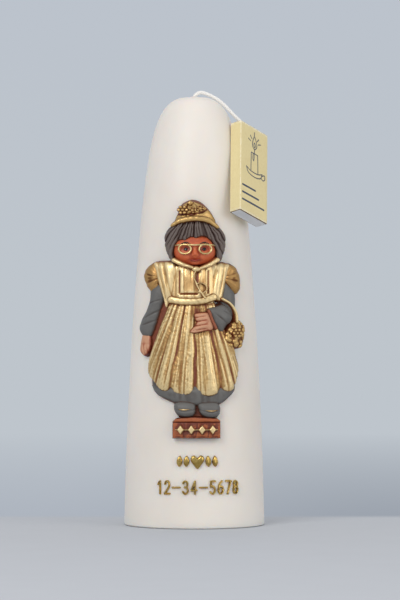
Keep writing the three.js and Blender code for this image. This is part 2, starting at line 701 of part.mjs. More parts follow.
// A heart with two leaves at each side.
function ornamentRow() {
  const heart = [
    [0, -3.9], [2.4, -1.4], [3.8, 1], [3.4, 3], [1.8, 3.8], [0, 2.4], [-1.8, 3.8], [-3.4, 3], [-3.8, 1], [-2.4, -1.4],
  ];
  const leaf = [[0, -2.6], [1.6, -1], [1.8, 1], [0.4, 3.4], [-1.2, 1.4], [-1.4, -0.8]];
  const leafPlaces = [[-10.4, 1], [-6.4, 1], [6.4, -1], [10.4, -1]];
  const at = (outline, across, mirror = 1) => ({
    outline: outline.map(([x, z]) => [ornamentRowCentre + across + x * mirror, ornamentRowMiddle + z]),
    rim: letteringDepth * 0.8 + seatGap,
    crown: letteringDepth * 0.5,
  });
  const pieces = leafPlaces.map(([across, mirror], i) =>
    piece(`ornament_leaf_${i + 1}`, wrapOnWax(domeFlat(at(leaf, across, mirror), 0)), letterGold()));
  pieces.push(piece("ornament_heart", wrapOnWax(domeFlat(at(heart, 0), 0)), letterGold()));
  return pieces;
}

const candle = new THREE.Group();
candle.add(candleBody(), wickCore(), wickTail());
candle.add(...figurePieces(), ...ornamentRow(), ...numeralRow());
candle.add(matchboxGroup());

export default candle;
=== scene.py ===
"""A round-topped celebration candle with a painted relief figure and a slim matchbox on its wick.

Metres in Blender; the shapes are drawn in millimetres and scaled when a mesh is made.
+Z is up, the origin is the middle of the base and the figure faces -Y.
"""

import json
import math

import bpy
import numpy as np
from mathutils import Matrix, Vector, noise
from mathutils.geometry import delaunay_2d_cdt
from mathutils.kdtree import KDTree


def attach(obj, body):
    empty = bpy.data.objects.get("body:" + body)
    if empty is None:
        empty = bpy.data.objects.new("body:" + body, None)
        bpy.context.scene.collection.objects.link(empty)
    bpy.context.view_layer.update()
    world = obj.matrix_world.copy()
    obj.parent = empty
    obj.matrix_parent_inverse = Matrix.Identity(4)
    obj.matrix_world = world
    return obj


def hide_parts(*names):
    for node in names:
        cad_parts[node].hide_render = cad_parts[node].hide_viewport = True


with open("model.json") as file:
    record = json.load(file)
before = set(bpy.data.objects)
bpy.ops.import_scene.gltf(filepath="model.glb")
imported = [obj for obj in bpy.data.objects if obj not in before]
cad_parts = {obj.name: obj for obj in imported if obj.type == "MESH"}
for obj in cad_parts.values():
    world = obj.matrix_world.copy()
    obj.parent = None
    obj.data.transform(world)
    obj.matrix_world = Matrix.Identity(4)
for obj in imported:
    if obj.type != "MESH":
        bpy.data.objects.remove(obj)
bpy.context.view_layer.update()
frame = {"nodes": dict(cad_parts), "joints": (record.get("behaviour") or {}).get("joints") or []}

MM = 0.001
COARSE = 1.0

# ---- the candle's shape, as in the CAD ----

CANDLE_HEIGHT = 250.0
BASE_RADIUS = 41.0
FIGURE_BASE = 52.0
WICK_DIAMETER = 2.1
WICK_ROUTE = [
    (0, 0, 250.2), (0.7, 0, 251.2), (2, 0, 252.2), (3.9, 0, 252.7), (5.9, 0, 252.3),
    (8, -0.1, 251.5), (10.6, -0.2, 250.3), (14.2, -0.4, 248.1), (17.6, -0.7, 245.2),
    (20.6, -1, 242), (23.8, -1.4, 238.7), (27, -1.9, 235.5), (29.6, -2.3, 233), (32.1, -2.7, 230.6),
]


def wax_radius(height):
    share = np.clip(np.asarray(height, float) / CANDLE_HEIGHT, 0, 1)
    return BASE_RADIUS * (1 - 0.115 * share - 0.305 * share**2) * (1 - share**15) ** 0.32


def on_wax(across, height, depth):
    """Wraps a flat drawing round the candle: depth stands out of the wax."""
    radius = wax_radius(height)
    angle = across / radius
    reach = radius + depth
    return np.stack([reach * np.sin(angle), -reach * np.cos(angle), height + 0 * across], axis=-1)


# ---- camera, stage and lamps ----

def linear(colour):
    """A screen colour of 0 to 255 as the linear colour that a shader takes."""
    steps = [c / 255 for c in colour]
    return tuple(c / 12.92 if c <= 0.04045 else ((c + 0.055) / 1.055) ** 2.4 for c in steps) + (1.0,)


def new_tree(material_name):
    material = bpy.data.materials.new(material_name)
    material.use_nodes = True
    material.node_tree.nodes.clear()
    return material, material.node_tree


def node(tree, kind, settings=None, **inputs):
    """Adds a node. An input is a value or another node's output, and i0, i1 name inputs by number."""
    made = tree.nodes.new(kind)
    for key, value in (settings or {}).items():
        setattr(made, key, value)
    for key, value in inputs.items():
        by_number = key[0] == "i" and key[1:].isdigit()
        socket = made.inputs[int(key[1:]) if by_number else key.replace("_", " ")]
        if isinstance(value, bpy.types.NodeSocket):
            tree.links.new(value, socket)
        else:
            socket.default_value = value
    return made


BACKDROP_TOP = (187, 194, 204)
BACKDROP_MIDDLE = (190, 197, 204)
# Painted shade at the foot of the backdrop, darker at the right than at the left
BACKDROP_FOOT_SHADE = ((174, 181, 191), (157, 164, 174))  # at the left and at the right
FLOOR_COLOUR = (194, 199, 205)
FLOOR_EDGE = 0.066


def look_rays(tree):
    """One for the rays that show the backdrop itself: those of the camera, gloss and glass."""
    path = node(tree, "ShaderNodeLightPath")
    gloss = node(tree, "ShaderNodeMath", {"operation": "MAXIMUM"},
                 i0=path.outputs["Is Camera Ray"], i1=path.outputs["Is Glossy Ray"])
    return node(tree, "ShaderNodeMath", {"operation": "MAXIMUM"},
                i0=gloss.outputs[0], i1=path.outputs["Is Transmission Ray"]).outputs[0]


def make_world():
    world = bpy.data.worlds.new("studio_world")
    world.use_nodes = True
    tree = world.node_tree
    tree.nodes.clear()
    light = node(tree, "ShaderNodeBackground", Color=linear((241, 240, 243)), Strength=0.7)
    coordinates = node(tree, "ShaderNodeTexCoord")
    split = node(tree, "ShaderNodeSeparateXYZ", Vector=coordinates.outputs["Generated"])
    rise = node(tree, "ShaderNodeMapRange", Value=split.outputs["Z"], From_Min=0.0, From_Max=0.12)
    tone = node(tree, "ShaderNodeMix", {"data_type": "RGBA"}, i0=rise.outputs[0],
                i6=linear(BACKDROP_MIDDLE), i7=linear(BACKDROP_TOP))
    look = node(tree, "ShaderNodeBackground", Color=tone.outputs[2], Strength=1.0)
    mixed = node(tree, "ShaderNodeMixShader", i0=look_rays(tree), i1=light.outputs[0], i2=look.outputs[0])
    node(tree, "ShaderNodeOutputWorld", Surface=mixed.outputs[0])
    bpy.context.scene.world = world


def make_floor():
    reach = 9.0
    mesh = bpy.data.meshes.new("studio_floor")
    mesh.from_pydata([(-reach, -reach, 0), (reach, -reach, 0), (reach, reach, 0), (-reach, reach, 0)],
                     [], [(0, 1, 2, 3)])
    floor = bpy.data.objects.new("studio_floor", mesh)
    floor.location.z = -0.0002
    bpy.context.scene.collection.objects.link(floor)
    material, tree = new_tree("studio_floor")
    coordinates = node(tree, "ShaderNodeTexCoord")
    split = node(tree, "ShaderNodeSeparateXYZ", Vector=coordinates.outputs["Object"])
    grain = node(tree, "ShaderNodeTexNoise", Vector=coordinates.outputs["Object"], Scale=35.0, Detail=3.0)
    grain_tone = node(tree, "ShaderNodeMix", {"data_type": "RGBA"}, i0=grain.outputs[0],
                      i6=linear([c - 1.5 for c in FLOOR_COLOUR]), i7=linear([c + 1.5 for c in FLOOR_COLOUR]))
    sheet = node(tree, "ShaderNodeBsdfDiffuse", Color=grain_tone.outputs[2])
    # Behind the floor's edge the camera sees the backdrop: darker at its foot with painted shade, more so on
    # the right, then level.
    rise = node(tree, "ShaderNodeMapRange", Value=split.outputs["Y"],
                From_Min=FLOOR_EDGE + 0.03, From_Max=1.25)
    aside = node(tree, "ShaderNodeMapRange", {"interpolation_type": "SMOOTHSTEP"}, Value=split.outputs["X"],
                 From_Min=-0.1, From_Max=0.12)
    foot_shade_tone = node(tree, "ShaderNodeMix", {"data_type": "RGBA"}, i0=aside.outputs[0],
                     i6=linear(BACKDROP_FOOT_SHADE[0]), i7=linear(BACKDROP_FOOT_SHADE[1]))
    foot = node(tree, "ShaderNodeMix", {"data_type": "RGBA"}, i0=rise.outputs[0],
                i6=foot_shade_tone.outputs[2], i7=linear(BACKDROP_MIDDLE))
    backdrop = node(tree, "ShaderNodeEmission", Color=foot.outputs[2], Strength=1.0)
    beyond = node(tree, "ShaderNodeMapRange", Value=split.outputs["Y"],
                  From_Min=FLOOR_EDGE - 0.012, From_Max=FLOOR_EDGE + 0.012)
    distance = node(tree, "ShaderNodeVectorMath", {"operation": "LENGTH"}, i0=coordinates.outputs["Object"])
    far = node(tree, "ShaderNodeMapRange", {"interpolation_type": "SMOOTHSTEP"},
               Value=distance.outputs["Value"], From_Min=1.0, From_Max=3.0)
    either = node(tree, "ShaderNodeMath", {"operation": "MAXIMUM"}, i0=beyond.outputs[0], i1=far.outputs[0])
    seen = node(tree, "ShaderNodeMath", {"operation": "MULTIPLY"}, i0=either.outputs[0], i1=look_rays(tree))
    mixed = node(tree, "ShaderNodeMixShader", i0=seen.outputs[0], i1=sheet.outputs[0], i2=backdrop.outputs[0])
    node(tree, "ShaderNodeOutputMaterial", Surface=mixed.outputs[0])
    mesh.materials.append(material)


def make_lamp(name, place, target, size, power, colour):
    data = bpy.data.lights.new(name, "AREA")
    data.shape = "SQUARE"
    data.size = size
    data.energy = power
    data.color = linear(colour)[:3]
    lamp = bpy.data.objects.new(name, data)
    lamp.location = place
    lamp.rotation_euler = (Vector(target) - Vector(place)).to_track_quat("-Z", "Y").to_euler()
    lamp.visible_camera = False
    bpy.context.scene.collection.objects.link(lamp)


def make_camera():
    data = bpy.data.cameras.new("camera")
    data.lens = 187.5
    data.sensor_width = 36
    camera = bpy.data.objects.new("camera", data)
    camera.location = (0.0033, -1.83, 0.1312)
    camera.rotation_euler = (math.radians(90), 0, 0)
    bpy.context.scene.collection.objects.link(camera)
    bpy.context.scene.camera = camera


make_camera()
make_world()
make_floor()
make_lamp("key_lamp", (-0.85, -1.7, 1.2), (0, 0, 0.12), 1.0, 17.5, (255, 252, 248))
make_lamp("fill_lamp", (1.6, -1.3, 0.6), (0, 0, 0.12), 1.4, 10, (255, 250, 242))
make_lamp("top_lamp", (0.1, 0.5, 1.9), (0, 0, 0.12), 1.2, 2, (250, 251, 255))
bpy.context.scene.view_settings.view_transform = "Standard"

# ---- materials ----


def start_material(name):
    material, tree = new_tree(name)
    return material, tree, node(tree, "ShaderNodeTexCoord").outputs["Object"]


def hollow_of(tree):
    """How deep in a hollow a point lies: 1 in a crease or at a border, -1 on a ridge."""
    return node(tree, "ShaderNodeAttribute", {"attribute_name": "hollow"}).outputs["Fac"]


def finish_material(tree, colour, roughness, bump_height=None, bump_distance=0.0001, bump_strength=1.0,
                    metallic=0.0, specular=0.5, extra=None):
    shader = node(tree, "ShaderNodeBsdfPrincipled")
    for key, value in {"Base Color": colour, "Roughness": roughness, "Metallic": metallic,
                       "Specular IOR Level": specular, **(extra or {})}.items():
        if isinstance(value, bpy.types.NodeSocket):
            tree.links.new(value, shader.inputs[key])
        else:
            shader.inputs[key].default_value = value
    if bump_height is not None:
        bump = node(tree, "ShaderNodeBump", Height=bump_height, Strength=bump_strength,
                    Distance=bump_distance)
        tree.links.new(bump.outputs[0], shader.inputs["Normal"])
    node(tree, "ShaderNodeOutputMaterial", Surface=shader.outputs[0])


def noise_of(tree, coordinates, scale, detail=4.0, roughness=0.55):
    return node(tree, "ShaderNodeTexNoise", Vector=coordinates, Scale=scale, Detail=detail,
                Roughness=roughness).outputs[0]


def ramp(tree, value, low, high, to_low=0.0, to_high=1.0):
    return node(tree, "ShaderNodeMapRange", {"interpolation_type": "SMOOTHSTEP"},
                Value=value, From_Min=low, From_Max=high, To_Min=to_low, To_Max=to_high).outputs[0]


def blend_colours(tree, share, first, second):
    mixed = node(tree, "ShaderNodeMix", {"data_type": "RGBA"}, i0=share)
    for socket, colour in ((6, first), (7, second)):
        if isinstance(colour, bpy.types.NodeSocket):
            tree.links.new(colour, mixed.inputs[socket])
        else:
            mixed.inputs[socket].default_value = linear(colour)
    return mixed.outputs[2]


def calculate(tree, operation, first, second):
    return node(tree, "ShaderNodeMath", {"operation": operation}, i0=first, i1=second).outputs[0]


def weighted(tree, first, first_weight, second, second_weight):
    return calculate(tree, "ADD", calculate(tree, "MULTIPLY", first, first_weight),
                     calculate(tree, "MULTIPLY", second, second_weight))


def wax_material():
    material, tree, place = start_material("white_wax")
    clouds = noise_of(tree, place, 22.0, 3.0)
    specks = noise_of(tree, place, 900.0, 2.0)
    colour = blend_colours(tree, ramp(tree, clouds, 0.3, 0.7), (231, 225, 216), (235, 230, 222))
    colour = blend_colours(tree, ramp(tree, specks, 0.68, 0.8, 0, 0.25), colour, (214, 204, 190))
    rough = ramp(tree, noise_of(tree, place, 60.0), 0.3, 0.7, 0.4, 0.52)
    height = weighted(tree, clouds, 0.8, specks, 0.1)
    finish_material(tree, colour, rough, height, 0.0002, 0.5, specular=0.42, extra={
        "Subsurface Weight": 0.5, "Subsurface Scale": 0.006, "Subsurface Radius": (1.0, 0.72, 0.5),
    })
    return material


STROKE_SCALE = 420.0  # of the paint's brush marks


def paint_material(name, base, light, wash_and_shade, under, metallic, roughness, worn):
    """Paint rubbed back to its undercoat in the hollows, with the wash tone there as painted shade, and
    lighter on the ridges as a painted highlight.
    """
    material, tree, place = start_material(name)
    hollow = hollow_of(tree)
    mottle = noise_of(tree, place, STROKE_SCALE, 5.0)
    patches = noise_of(tree, place, STROKE_SCALE * 0.3, 3.0)
    fine = noise_of(tree, place, STROKE_SCALE * 4, 3.0)
    uneven = calculate(tree, "MULTIPLY", calculate(tree, "SUBTRACT", mottle, 0.5), worn)
    reach = calculate(tree, "ADD", hollow, uneven)
    ridge = calculate(tree, "SUBTRACT", uneven, hollow)
    tone = blend_colours(tree, ramp(tree, patches, 0.35, 0.68, 0, 0.6), base, wash_and_shade)
    # Painted shade: the hollows darken towards the wash tone.
    tone = blend_colours(tree, ramp(tree, reach, -0.05, 0.45, 0, 0.9), tone, wash_and_shade)
    # Painted highlight: the ridges turn towards the light tone.
    tone = blend_colours(tree, ramp(tree, ridge, 0.0, 0.32, 0, 0.9), tone, light)
    tone = blend_colours(tree, ramp(tree, fine, 0.5, 0.85, 0, 0.4), tone, wash_and_shade)
    bare = ramp(tree, reach, 0.38, 0.85)
    colour = blend_colours(tree, bare, tone, under)
    rough = ramp(tree, mottle, 0.3, 0.7, roughness - 0.06, roughness + 0.1)
    height = weighted(tree, mottle, 0.7, fine, 0.3)
    metal = ramp(tree, bare, 0.0, 1.0, metallic, metallic * 0.15) if metallic else 0.0
    finish_material(tree, colour, rough, height, 0.00018, 0.6, metallic=metal)
    return material


def cotton_material():
    material, tree, place = start_material("braided_cotton")
    fibres = noise_of(tree, place, 3200.0, 4.0)
    hollow = hollow_of(tree)
    # Painted shade: darker where the braid's strands dip between one another.
    colour = blend_colours(tree, ramp(tree, hollow, 0.1, 1.0), (243, 242, 238), (196, 194, 190))
    colour = blend_colours(tree, ramp(tree, fibres, 0.45, 0.75, 0, 0.3), colour, (214, 212, 206))
    finish_material(tree, colour, 0.85, fibres, 0.0001, 0.7, specular=0.25)
    return material


def card_material(name, face, fibre, worn_edge, roughness=0.55):
    material, tree, place = start_material(name)
    stretched = node(tree, "ShaderNodeMapping", Vector=place, Scale=(1.0, 1.0, 0.35)).outputs[0]
    pulp = noise_of(tree, stretched, 1500.0, 5.0)
    blotch = noise_of(tree, place, 90.0, 3.0)
    hollow = hollow_of(tree)
    colour = blend_colours(tree, ramp(tree, pulp, 0.4, 0.72, 0, 0.5), face, fibre)
    colour = blend_colours(tree, ramp(tree, blotch, 0.45, 0.75, 0, 0.3), colour, fibre)
    edge = calculate(tree, "MULTIPLY", hollow, ramp(tree, noise_of(tree, place, 700.0), 0.35, 0.6))
    colour = blend_colours(tree, edge, colour, worn_edge)
    finish_material(tree, colour, roughness, pulp, 0.00006, 0.5, specular=0.4)
    return material


def plain_material(name, dark, light, scale, roughness, bump=0.00005, metallic=0.0, specular=0.5):
    """Two tones of one colour under a fine grain."""
    material, tree, place = start_material(name)
    grain = noise_of(tree, place, scale, 5.0)
    colour = blend_colours(tree, ramp(tree, grain, 0.3, 0.7), dark, light)
    rough = ramp(tree, grain, 0.3, 0.7, roughness - 0.05, roughness + 0.08)
    finish_material(tree, colour, rough, grain, bump, 0.6, metallic=metallic, specular=specular)
    return material


def wood_material():
    material, tree, place = start_material("match_wood_grain")
    stretched = node(tree, "ShaderNodeMapping", Vector=place, Scale=(1.0, 0.7, 0.06)).outputs[0]
    grain = noise_of(tree, stretched, 2600.0, 4.0)
    colour = blend_colours(tree, ramp(tree, grain, 0.35, 0.7), (231, 208, 164), (196, 158, 108))
    finish_material(tree, colour, 0.75, grain, 0.00008, 0.5, specular=0.3)
    return material


WAX = wax_material()
COTTON = cotton_material()
# base, painted highlight on the ridges, wash (also the painted shade in the hollows), undercoat; how
# metallic, how rough and how worn it is
GOLD = paint_material(
    "gold_paint", (206, 170, 112), (240, 214, 160), (156, 112, 64), (120, 56, 28), 0.7, 0.36, 0.7)
# A lighter copy of the gold paint, as painted light, for the bib, the shoulder frills and the collar.
LIT_GOLD = paint_material(
    "lit_gold_paint", (224, 188, 128), (246, 220, 166), (174, 128, 76), (124, 60, 32), 0.66, 0.34, 0.7)
# A darker copy of the gold paint, as painted shade, for the hat, its brim, flowers and knob, and the handbag
# and its clasp.
SHADED_GOLD = paint_material(
    "shaded_gold_paint", (160, 119, 66), (214, 176, 112), (118, 76, 38), (112, 50, 26), 0.7, 0.38, 0.7)
# A darker copy still of the gold paint, as painted shade, for the puff sleeves.
PUFF_SHADED_GOLD = paint_material(
    "puff_shaded_gold_paint", (126, 84, 42), (190, 148, 90), (96, 56, 26), (104, 44, 22), 0.7, 0.42, 0.7)
GREY = paint_material(
    "grey_paint", (88, 86, 83), (102, 101, 98), (78, 71, 65), (98, 54, 36), 0.0, 0.48, 0.45)
HAIR = paint_material(
    "hair_paint", (73, 54, 46), (107, 95, 89), (54, 34, 25), (44, 21, 13), 0.0, 0.48, 0.5)
CLAY = paint_material(
    "clay_paint", (180, 78, 43), (208, 106, 64), (142, 56, 31), (88, 34, 18), 0.0, 0.4, 0.35)
HAND_CLAY = paint_material(
    "hand_paint", (174, 104, 70), (204, 154, 120), (152, 74, 46), (104, 42, 22), 0.0, 0.45, 0.4)
PLINTH_CLAY = paint_material(
    "plinth_paint", (112, 42, 13), (168, 92, 48), (96, 35, 12), (80, 28, 10), 0.0, 0.5, 0.8)
GROUND_CLAY = paint_material(
    "ground_paint", (128, 62, 34), (150, 84, 54), (108, 48, 26), (92, 38, 22), 0.0, 0.5, 0.5)
LETTER_GOLD = plain_material("lettering_gold", (158, 128, 62), (206, 176, 104), 260.0, 0.22, 0.00003, 1.0)
WIRE_GOLD = plain_material("wire_gold", (214, 184, 120), (236, 212, 156), 500.0, 0.3, 0.00002, 0.8)
CARD = card_material("printed_card", (231, 216, 163), (221, 202, 146), (246, 240, 220))
WHITE_CARD = card_material("white_card", (228, 230, 232), (214, 216, 218), (240, 240, 238), 0.75)
RAW_CARD = card_material("raw_card_edge", (112, 84, 60), (92, 68, 48), (124, 96, 70), 0.8)
INK = plain_material("blue_grey_ink", (52, 62, 84), (70, 80, 100), 900.0, 0.5, 0.00001)
STRIKER = plain_material("striker_grit", (70, 44, 36), (112, 76, 62), 2600.0, 0.9, 0.00012, specular=0.2)
MATCH_WOOD = wood_material()
MATCH_HEAD = plain_material("match_head", (120, 34, 26), (150, 50, 38), 2400.0, 0.8, 0.00015, specular=0.25)
EYE = plain_material("eye_paint", (26, 18, 16), (38, 28, 24), 600.0, 0.15, 0.00001)
LIP = plain_material("lip_paint", (140, 50, 38), (158, 62, 46), 600.0, 0.4, 0.00004)
BROW = plain_material("brow_paint", (58, 44, 40), (72, 56, 50), 900.0, 0.5, 0.00004)

# ---- curves and meshes ----


def smooth_path(points, spacing, closed=False):
    """A smooth curve through the points, divided into steps of about the spacing."""
    points = np.asarray(points, float)
    count = len(points)

    def at(i):
        return points[i % count] if closed else points[min(max(i, 0), count - 1)]

    def tangent(i):
        before, here, after = at(i - 1), at(i), at(i + 1)
        return (after - before) / max(np.linalg.norm(here - before) + np.linalg.norm(after - here), 1e-9)

    out = []
    for i in range(count if closed else count - 1):
        start, end = at(i), at(i + 1)
        length = np.linalg.norm(end - start)
        leave, arrive = tangent(i) * length, tangent(i + 1) * length
        steps = max(1, int(math.ceil(length / spacing)))
        for t in np.arange(steps) / steps:
            out.append((2 * t**3 - 3 * t**2 + 1) * start + (t**3 - 2 * t**2 + t) * leave
                       + (3 * t**2 - 2 * t**3) * end + (t**3 - t**2) * arrive)
    if not closed:
        out.append(points[-1])
    return np.array(out)


def straight_path(points, spacing, closed=False):
    points = np.asarray(points, float)
    ends = np.roll(points, -1, axis=0) if closed else points[1:]
    out = []
    for start, end in zip(points, ends):
        steps = max(1, int(math.ceil(np.linalg.norm(end - start) / spacing)))
        out += [start + (end - start) * t for t in np.arange(steps) / steps]
    if not closed:
        out.append(points[-1])
    return np.array(out)


def stroke(points, width, smooth=True, spacing=0.35):
    """The outline of a band along a path. The width is one number, or one at each end and middle."""
    line = (smooth_path if smooth else straight_path)(points, spacing)
    along = np.gradient(line, axis=0)
    along /= np.linalg.norm(along, axis=1)[:, None]
    side = np.stack([-along[:, 1], along[:, 0]], axis=1)
    share = np.linspace(0, 1, len(line))
    widths = np.interp(share, np.linspace(0, 1, len(np.atleast_1d(width))), np.atleast_1d(width))
    half = widths[:, None] / 2

    def cap(centre, start, radius):
        turns = np.linspace(0, math.pi, 8)[1:-1]
        across = np.array([-start[1], start[0]])
        return np.array([centre + radius * (np.cos(t) * start - np.sin(t) * across) for t in turns])

    return np.concatenate([
        line + side * half,
        cap(line[-1], side[-1], widths[-1] / 2),
        (line - side * half)[::-1],
        cap(line[0], -side[0], widths[0] / 2),
    ])


def inside(points, loop):
    """Which points lie inside a closed loop."""
    x, y = points[:, 0][:, None], points[:, 1][:, None]
    x0, y0 = loop[:, 0][None], loop[:, 1][None]
    x1, y1 = np.roll(loop[:, 0], -1)[None], np.roll(loop[:, 1], -1)[None]
    crosses = (y0 > y) != (y1 > y)
    rise = np.where(y1 == y0, 1e-12, y1 - y0)
    return (crosses & (x < (x1 - x0) * (y - y0) / rise + x0)).sum(axis=1) % 2 == 1


def inside_any(points, loops):
    return np.any([inside(points, loop) for loop in loops], axis=0)


def tree_of(points):
    tree = KDTree(len(points))
    for i, point in enumerate(points):
        tree.insert((point[0], point[1], 0), i)
    tree.balance()
    return tree


def distances(points, tree):
    return np.array([tree.find((point[0], point[1], 0))[2] for point in points])


def edges_of(triangles):
    return np.concatenate([triangles[:, [0, 1]], triangles[:, [1, 2]], triangles[:, [2, 0]]])


def triangulated(loops, pitch):
    """Fills the union of closed loops with even triangles: points, triangles and border edges."""
    border = np.concatenate(loops)
    low, high = border.min(axis=0), border.max(axis=0)
    rows = np.arange(low[1] + pitch * 0.5, high[1], pitch * 0.866)
    columns = [np.arange(low[0] + (0.5 * pitch if i % 2 else 0), high[0], pitch) for i in range(len(rows))]
    grid = np.concatenate([np.stack([column, np.full(len(column), row)], axis=1)
                           for column, row in zip(columns, rows)])
    grid = grid[inside_any(grid, loops)]
    if len(grid):
        grid = grid[distances(grid, tree_of(border)) > pitch * 0.6]
    starts = np.cumsum([0] + [len(loop) for loop in loops])
    faces = [list(range(starts[i], starts[i + 1])) for i in range(len(loops))]
    points = [Vector((p[0], p[1])) for p in np.concatenate([border, grid])]
    found = delaunay_2d_cdt(points, [], faces, 1, 1e-5)
    flat = np.array([tuple(v) for v in found[0]])
    triangles = np.array([f for f in found[2] if len(f) == 3])
    triangles = triangles[inside_any(flat[triangles].mean(axis=1), loops)]
    a, b, c = flat[triangles[:, 0]], flat[triangles[:, 1]], flat[triangles[:, 2]]
    area = (b[:, 0] - a[:, 0]) * (c[:, 1] - a[:, 1]) - (b[:, 1] - a[:, 1]) * (c[:, 0] - a[:, 0])
    triangles[area < 0] = triangles[area < 0][:, ::-1]
    edges = edges_of(triangles)
    there = {tuple(edge) for edge in edges}
    rim = np.array([edge for edge in edges if (edge[1], edge[0]) not in there])
    used = np.unique(triangles)
    lookup = np.full(len(flat), -1)
    lookup[used] = np.arange(len(used))
    return flat[used], lookup[triangles], lookup[rim]


def smoothed(values, triangles, rounds):
    """Each value replaced by the mean of its neighbours, a number of times."""
    edges = edges_of(triangles)
    edges = np.concatenate([edges, edges[:, ::-1]])
    count = np.bincount(edges[:, 0], minlength=len(values)).clip(1)
    for _ in range(rounds):
        values = np.bincount(edges[:, 0], weights=values[edges[:, 1]], minlength=len(values)) / count
    return values


def make_object(name, points, faces, materials, body, replaced=(), attribute=None, sharp=55,
                face_slots=None):
    mesh = bpy.data.meshes.new(name)
    mesh.from_pydata((np.asarray(points) * MM).tolist(), [], [list(map(int, f)) for f in faces])
    for material in materials:
        mesh.materials.append(material)
    if face_slots is not None:
        mesh.polygons.foreach_set("material_index", np.asarray(face_slots, np.int32))
    mesh.shade_smooth()
    mesh.set_sharp_from_angle(angle=math.radians(sharp))
    if attribute is not None:
        layer = mesh.attributes.new("hollow", "FLOAT", "POINT")
        layer.data.foreach_set("value", np.asarray(attribute, np.float32))
    mesh.update()
    made = bpy.data.objects.new(name, mesh)
    bpy.context.scene.collection.objects.link(made)
    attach(made, body)
    if replaced:
        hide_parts(*replaced)
    return made


def patch(name, loops, depth, material, replaced=(), pitch=0.45, floor=-0.3, place=on_wax,
          body="candle", gain=1.5, border=0.28, sharp=55, bare=None):
    """A raised piece: the loops' union, standing out by depth(across, up, distance from the border)."""
    flat, triangles, rim = triangulated(loops, pitch * COARSE)
    across, up = flat[:, 0], flat[:, 1]
    edge = distances(flat, tree_of(flat[np.unique(rim)]))
    deep = depth(across, up, edge) + 0 * across
    near = smoothed(deep, triangles, int(round(8 * (0.45 / pitch) ** 2 / COARSE**2)))
    level = smoothed(near, triangles, int(round(30 * (0.45 / pitch) ** 2 / COARSE**2)))
    inner = np.clip(edge / 1.5, 0, 1)
    # The hollow value sets where the paint shows its undercoat, and also where it takes painted shade in the
    # creases and a painted highlight on the ridges.
    hollow = gain * ((near - deep) + 0.45 * inner * (level - deep)) + 0.8 * np.exp(-edge / border)
    if bare is not None:
        hollow = hollow + bare(across, up)
    front = place(across, up, deep)
    back = place(across, up, floor + 0 * deep)
    count = len(flat)
    faces = [*triangles.tolist(), *(triangles[:, ::-1] + count).tolist()]
    faces += [[b, a, a + count, b + count] for a, b in rim.tolist()]
    make_object(name, np.concatenate([front, back]), faces, [material], body, replaced,
                np.concatenate([hollow, np.full(count, 0.7)]).clip(-1, 1), sharp)


def figure_loop(points, smooth=True, spacing=0.4):
    lifted = np.asarray(points, float) + (0, FIGURE_BASE)
    return (smooth_path if smooth else straight_path)(lifted, spacing * COARSE, closed=True)


def figure_stroke(points, width, **kind):
    return stroke(np.asarray(points, float) + (0, FIGURE_BASE), width, spacing=0.4 * COARSE, **kind)


def rounded(edge, radius):
    """Rises from 0 at the border to 1 in a quarter circle."""
    return np.sqrt(np.clip(1 - (1 - np.clip(edge / radius, 0, 1)) ** 2, 0, 1))


def swell(edge, reach, power=2.0):
    return 1 - (1 - np.clip(edge / reach, 0, 1)) ** power


def bell(across, up, middle, size):
    return np.exp(-(((across - middle[0]) / size[0]) ** 2) - ((up - middle[1]) / size[1]) ** 2)


def rumple(across, up, scale, seed=0.0):
    return np.array([noise.noise(Vector((a * scale, u * scale, seed))) for a, u in zip(across, up)])


def crease(phase, sharpness=0.6):
    """Round ridges between narrow creases: 1 on a ridge, 0 in a crease."""
    return np.abs(np.cos(phase)) ** sharpness


# ---- the candle and its wick ----

def ring_faces(rings, sides, closed=False):
    """Faces that join rings of points, with a fan to one more point at each end unless it is closed."""
    steps = rings if closed else rings - 1
    faces = [[r * sides + k, r * sides + (k + 1) % sides,
              (r + 1) % rings * sides + (k + 1) % sides, (r + 1) % rings * sides + k]
             for r in range(steps) for k in range(sides)]
    if not closed:
        first, last = rings * sides, (rings - 1) * sides
        faces += [[first, (k + 1) % sides, k] for k in range(sides)]
        faces += [[first + 1, last + k, last + (k + 1) % sides] for k in range(sides)]
    return faces


def make_candle():
    sides, foot_round = int(168 / COARSE), 0.9
    dome = 1 - (1 - np.linspace(0, 1, 60)[1:-1]) ** 2.6
    dome_foot = 225
    heights = np.concatenate([np.linspace(foot_round, dome_foot, 70),
                              dome_foot + (CANDLE_HEIGHT - dome_foot) * dome])
    profile = [(BASE_RADIUS - foot_round * 1.2, 0.0)]
    foot_radius = float(wax_radius(foot_round))
    profile += [(foot_radius - foot_round * (1 - math.sin(t)), foot_round * (1 - math.cos(t)))
                for t in np.linspace(0.2, math.pi / 2, 5)[:-1]]
    profile += [(float(wax_radius(h)), h) for h in heights]
    last_radius, last_height = profile[-1]
    profile += [(last_radius * s, last_height + (CANDLE_HEIGHT - last_height) * (1 - s))
                for s in (0.8, 0.6, 0.4, 0.25)]
    # The wax climbs a little way up the wick, out of a shallow dimple.
    points = []
    for radius, height in profile:
        lift = 0.75 * math.exp(-((radius / 1.9) ** 2)) - 0.35 * math.exp(-(((radius - 4.5) / 2.2) ** 2))
        lift = lift if height > 200 else 0
        for turn in np.arange(sides) * 2 * math.pi / sides:
            x, y = math.cos(turn), math.sin(turn)
            unevenness = 0.1 * noise.noise(Vector((x * 1.4, y * 1.4, height / 45)))
            unevenness += 0.03 * noise.noise(Vector((x * 6, y * 6, height / 12)))
            reach = radius + (unevenness if height > 1 else 0) * min(radius / 10, 1)
            points.append((reach * x, reach * y, height + lift))
    faces = ring_faces(len(profile), sides)
    points += [(0, 0, 0), (0, 0, CANDLE_HEIGHT + 0.7)]
    make_object("wax_body", points, faces, [WAX], "candle", ["candle_body"], sharp=60)


def distance_along(line):
    return np.concatenate([[0], np.cumsum(np.linalg.norm(np.diff(line, axis=0), axis=1))])


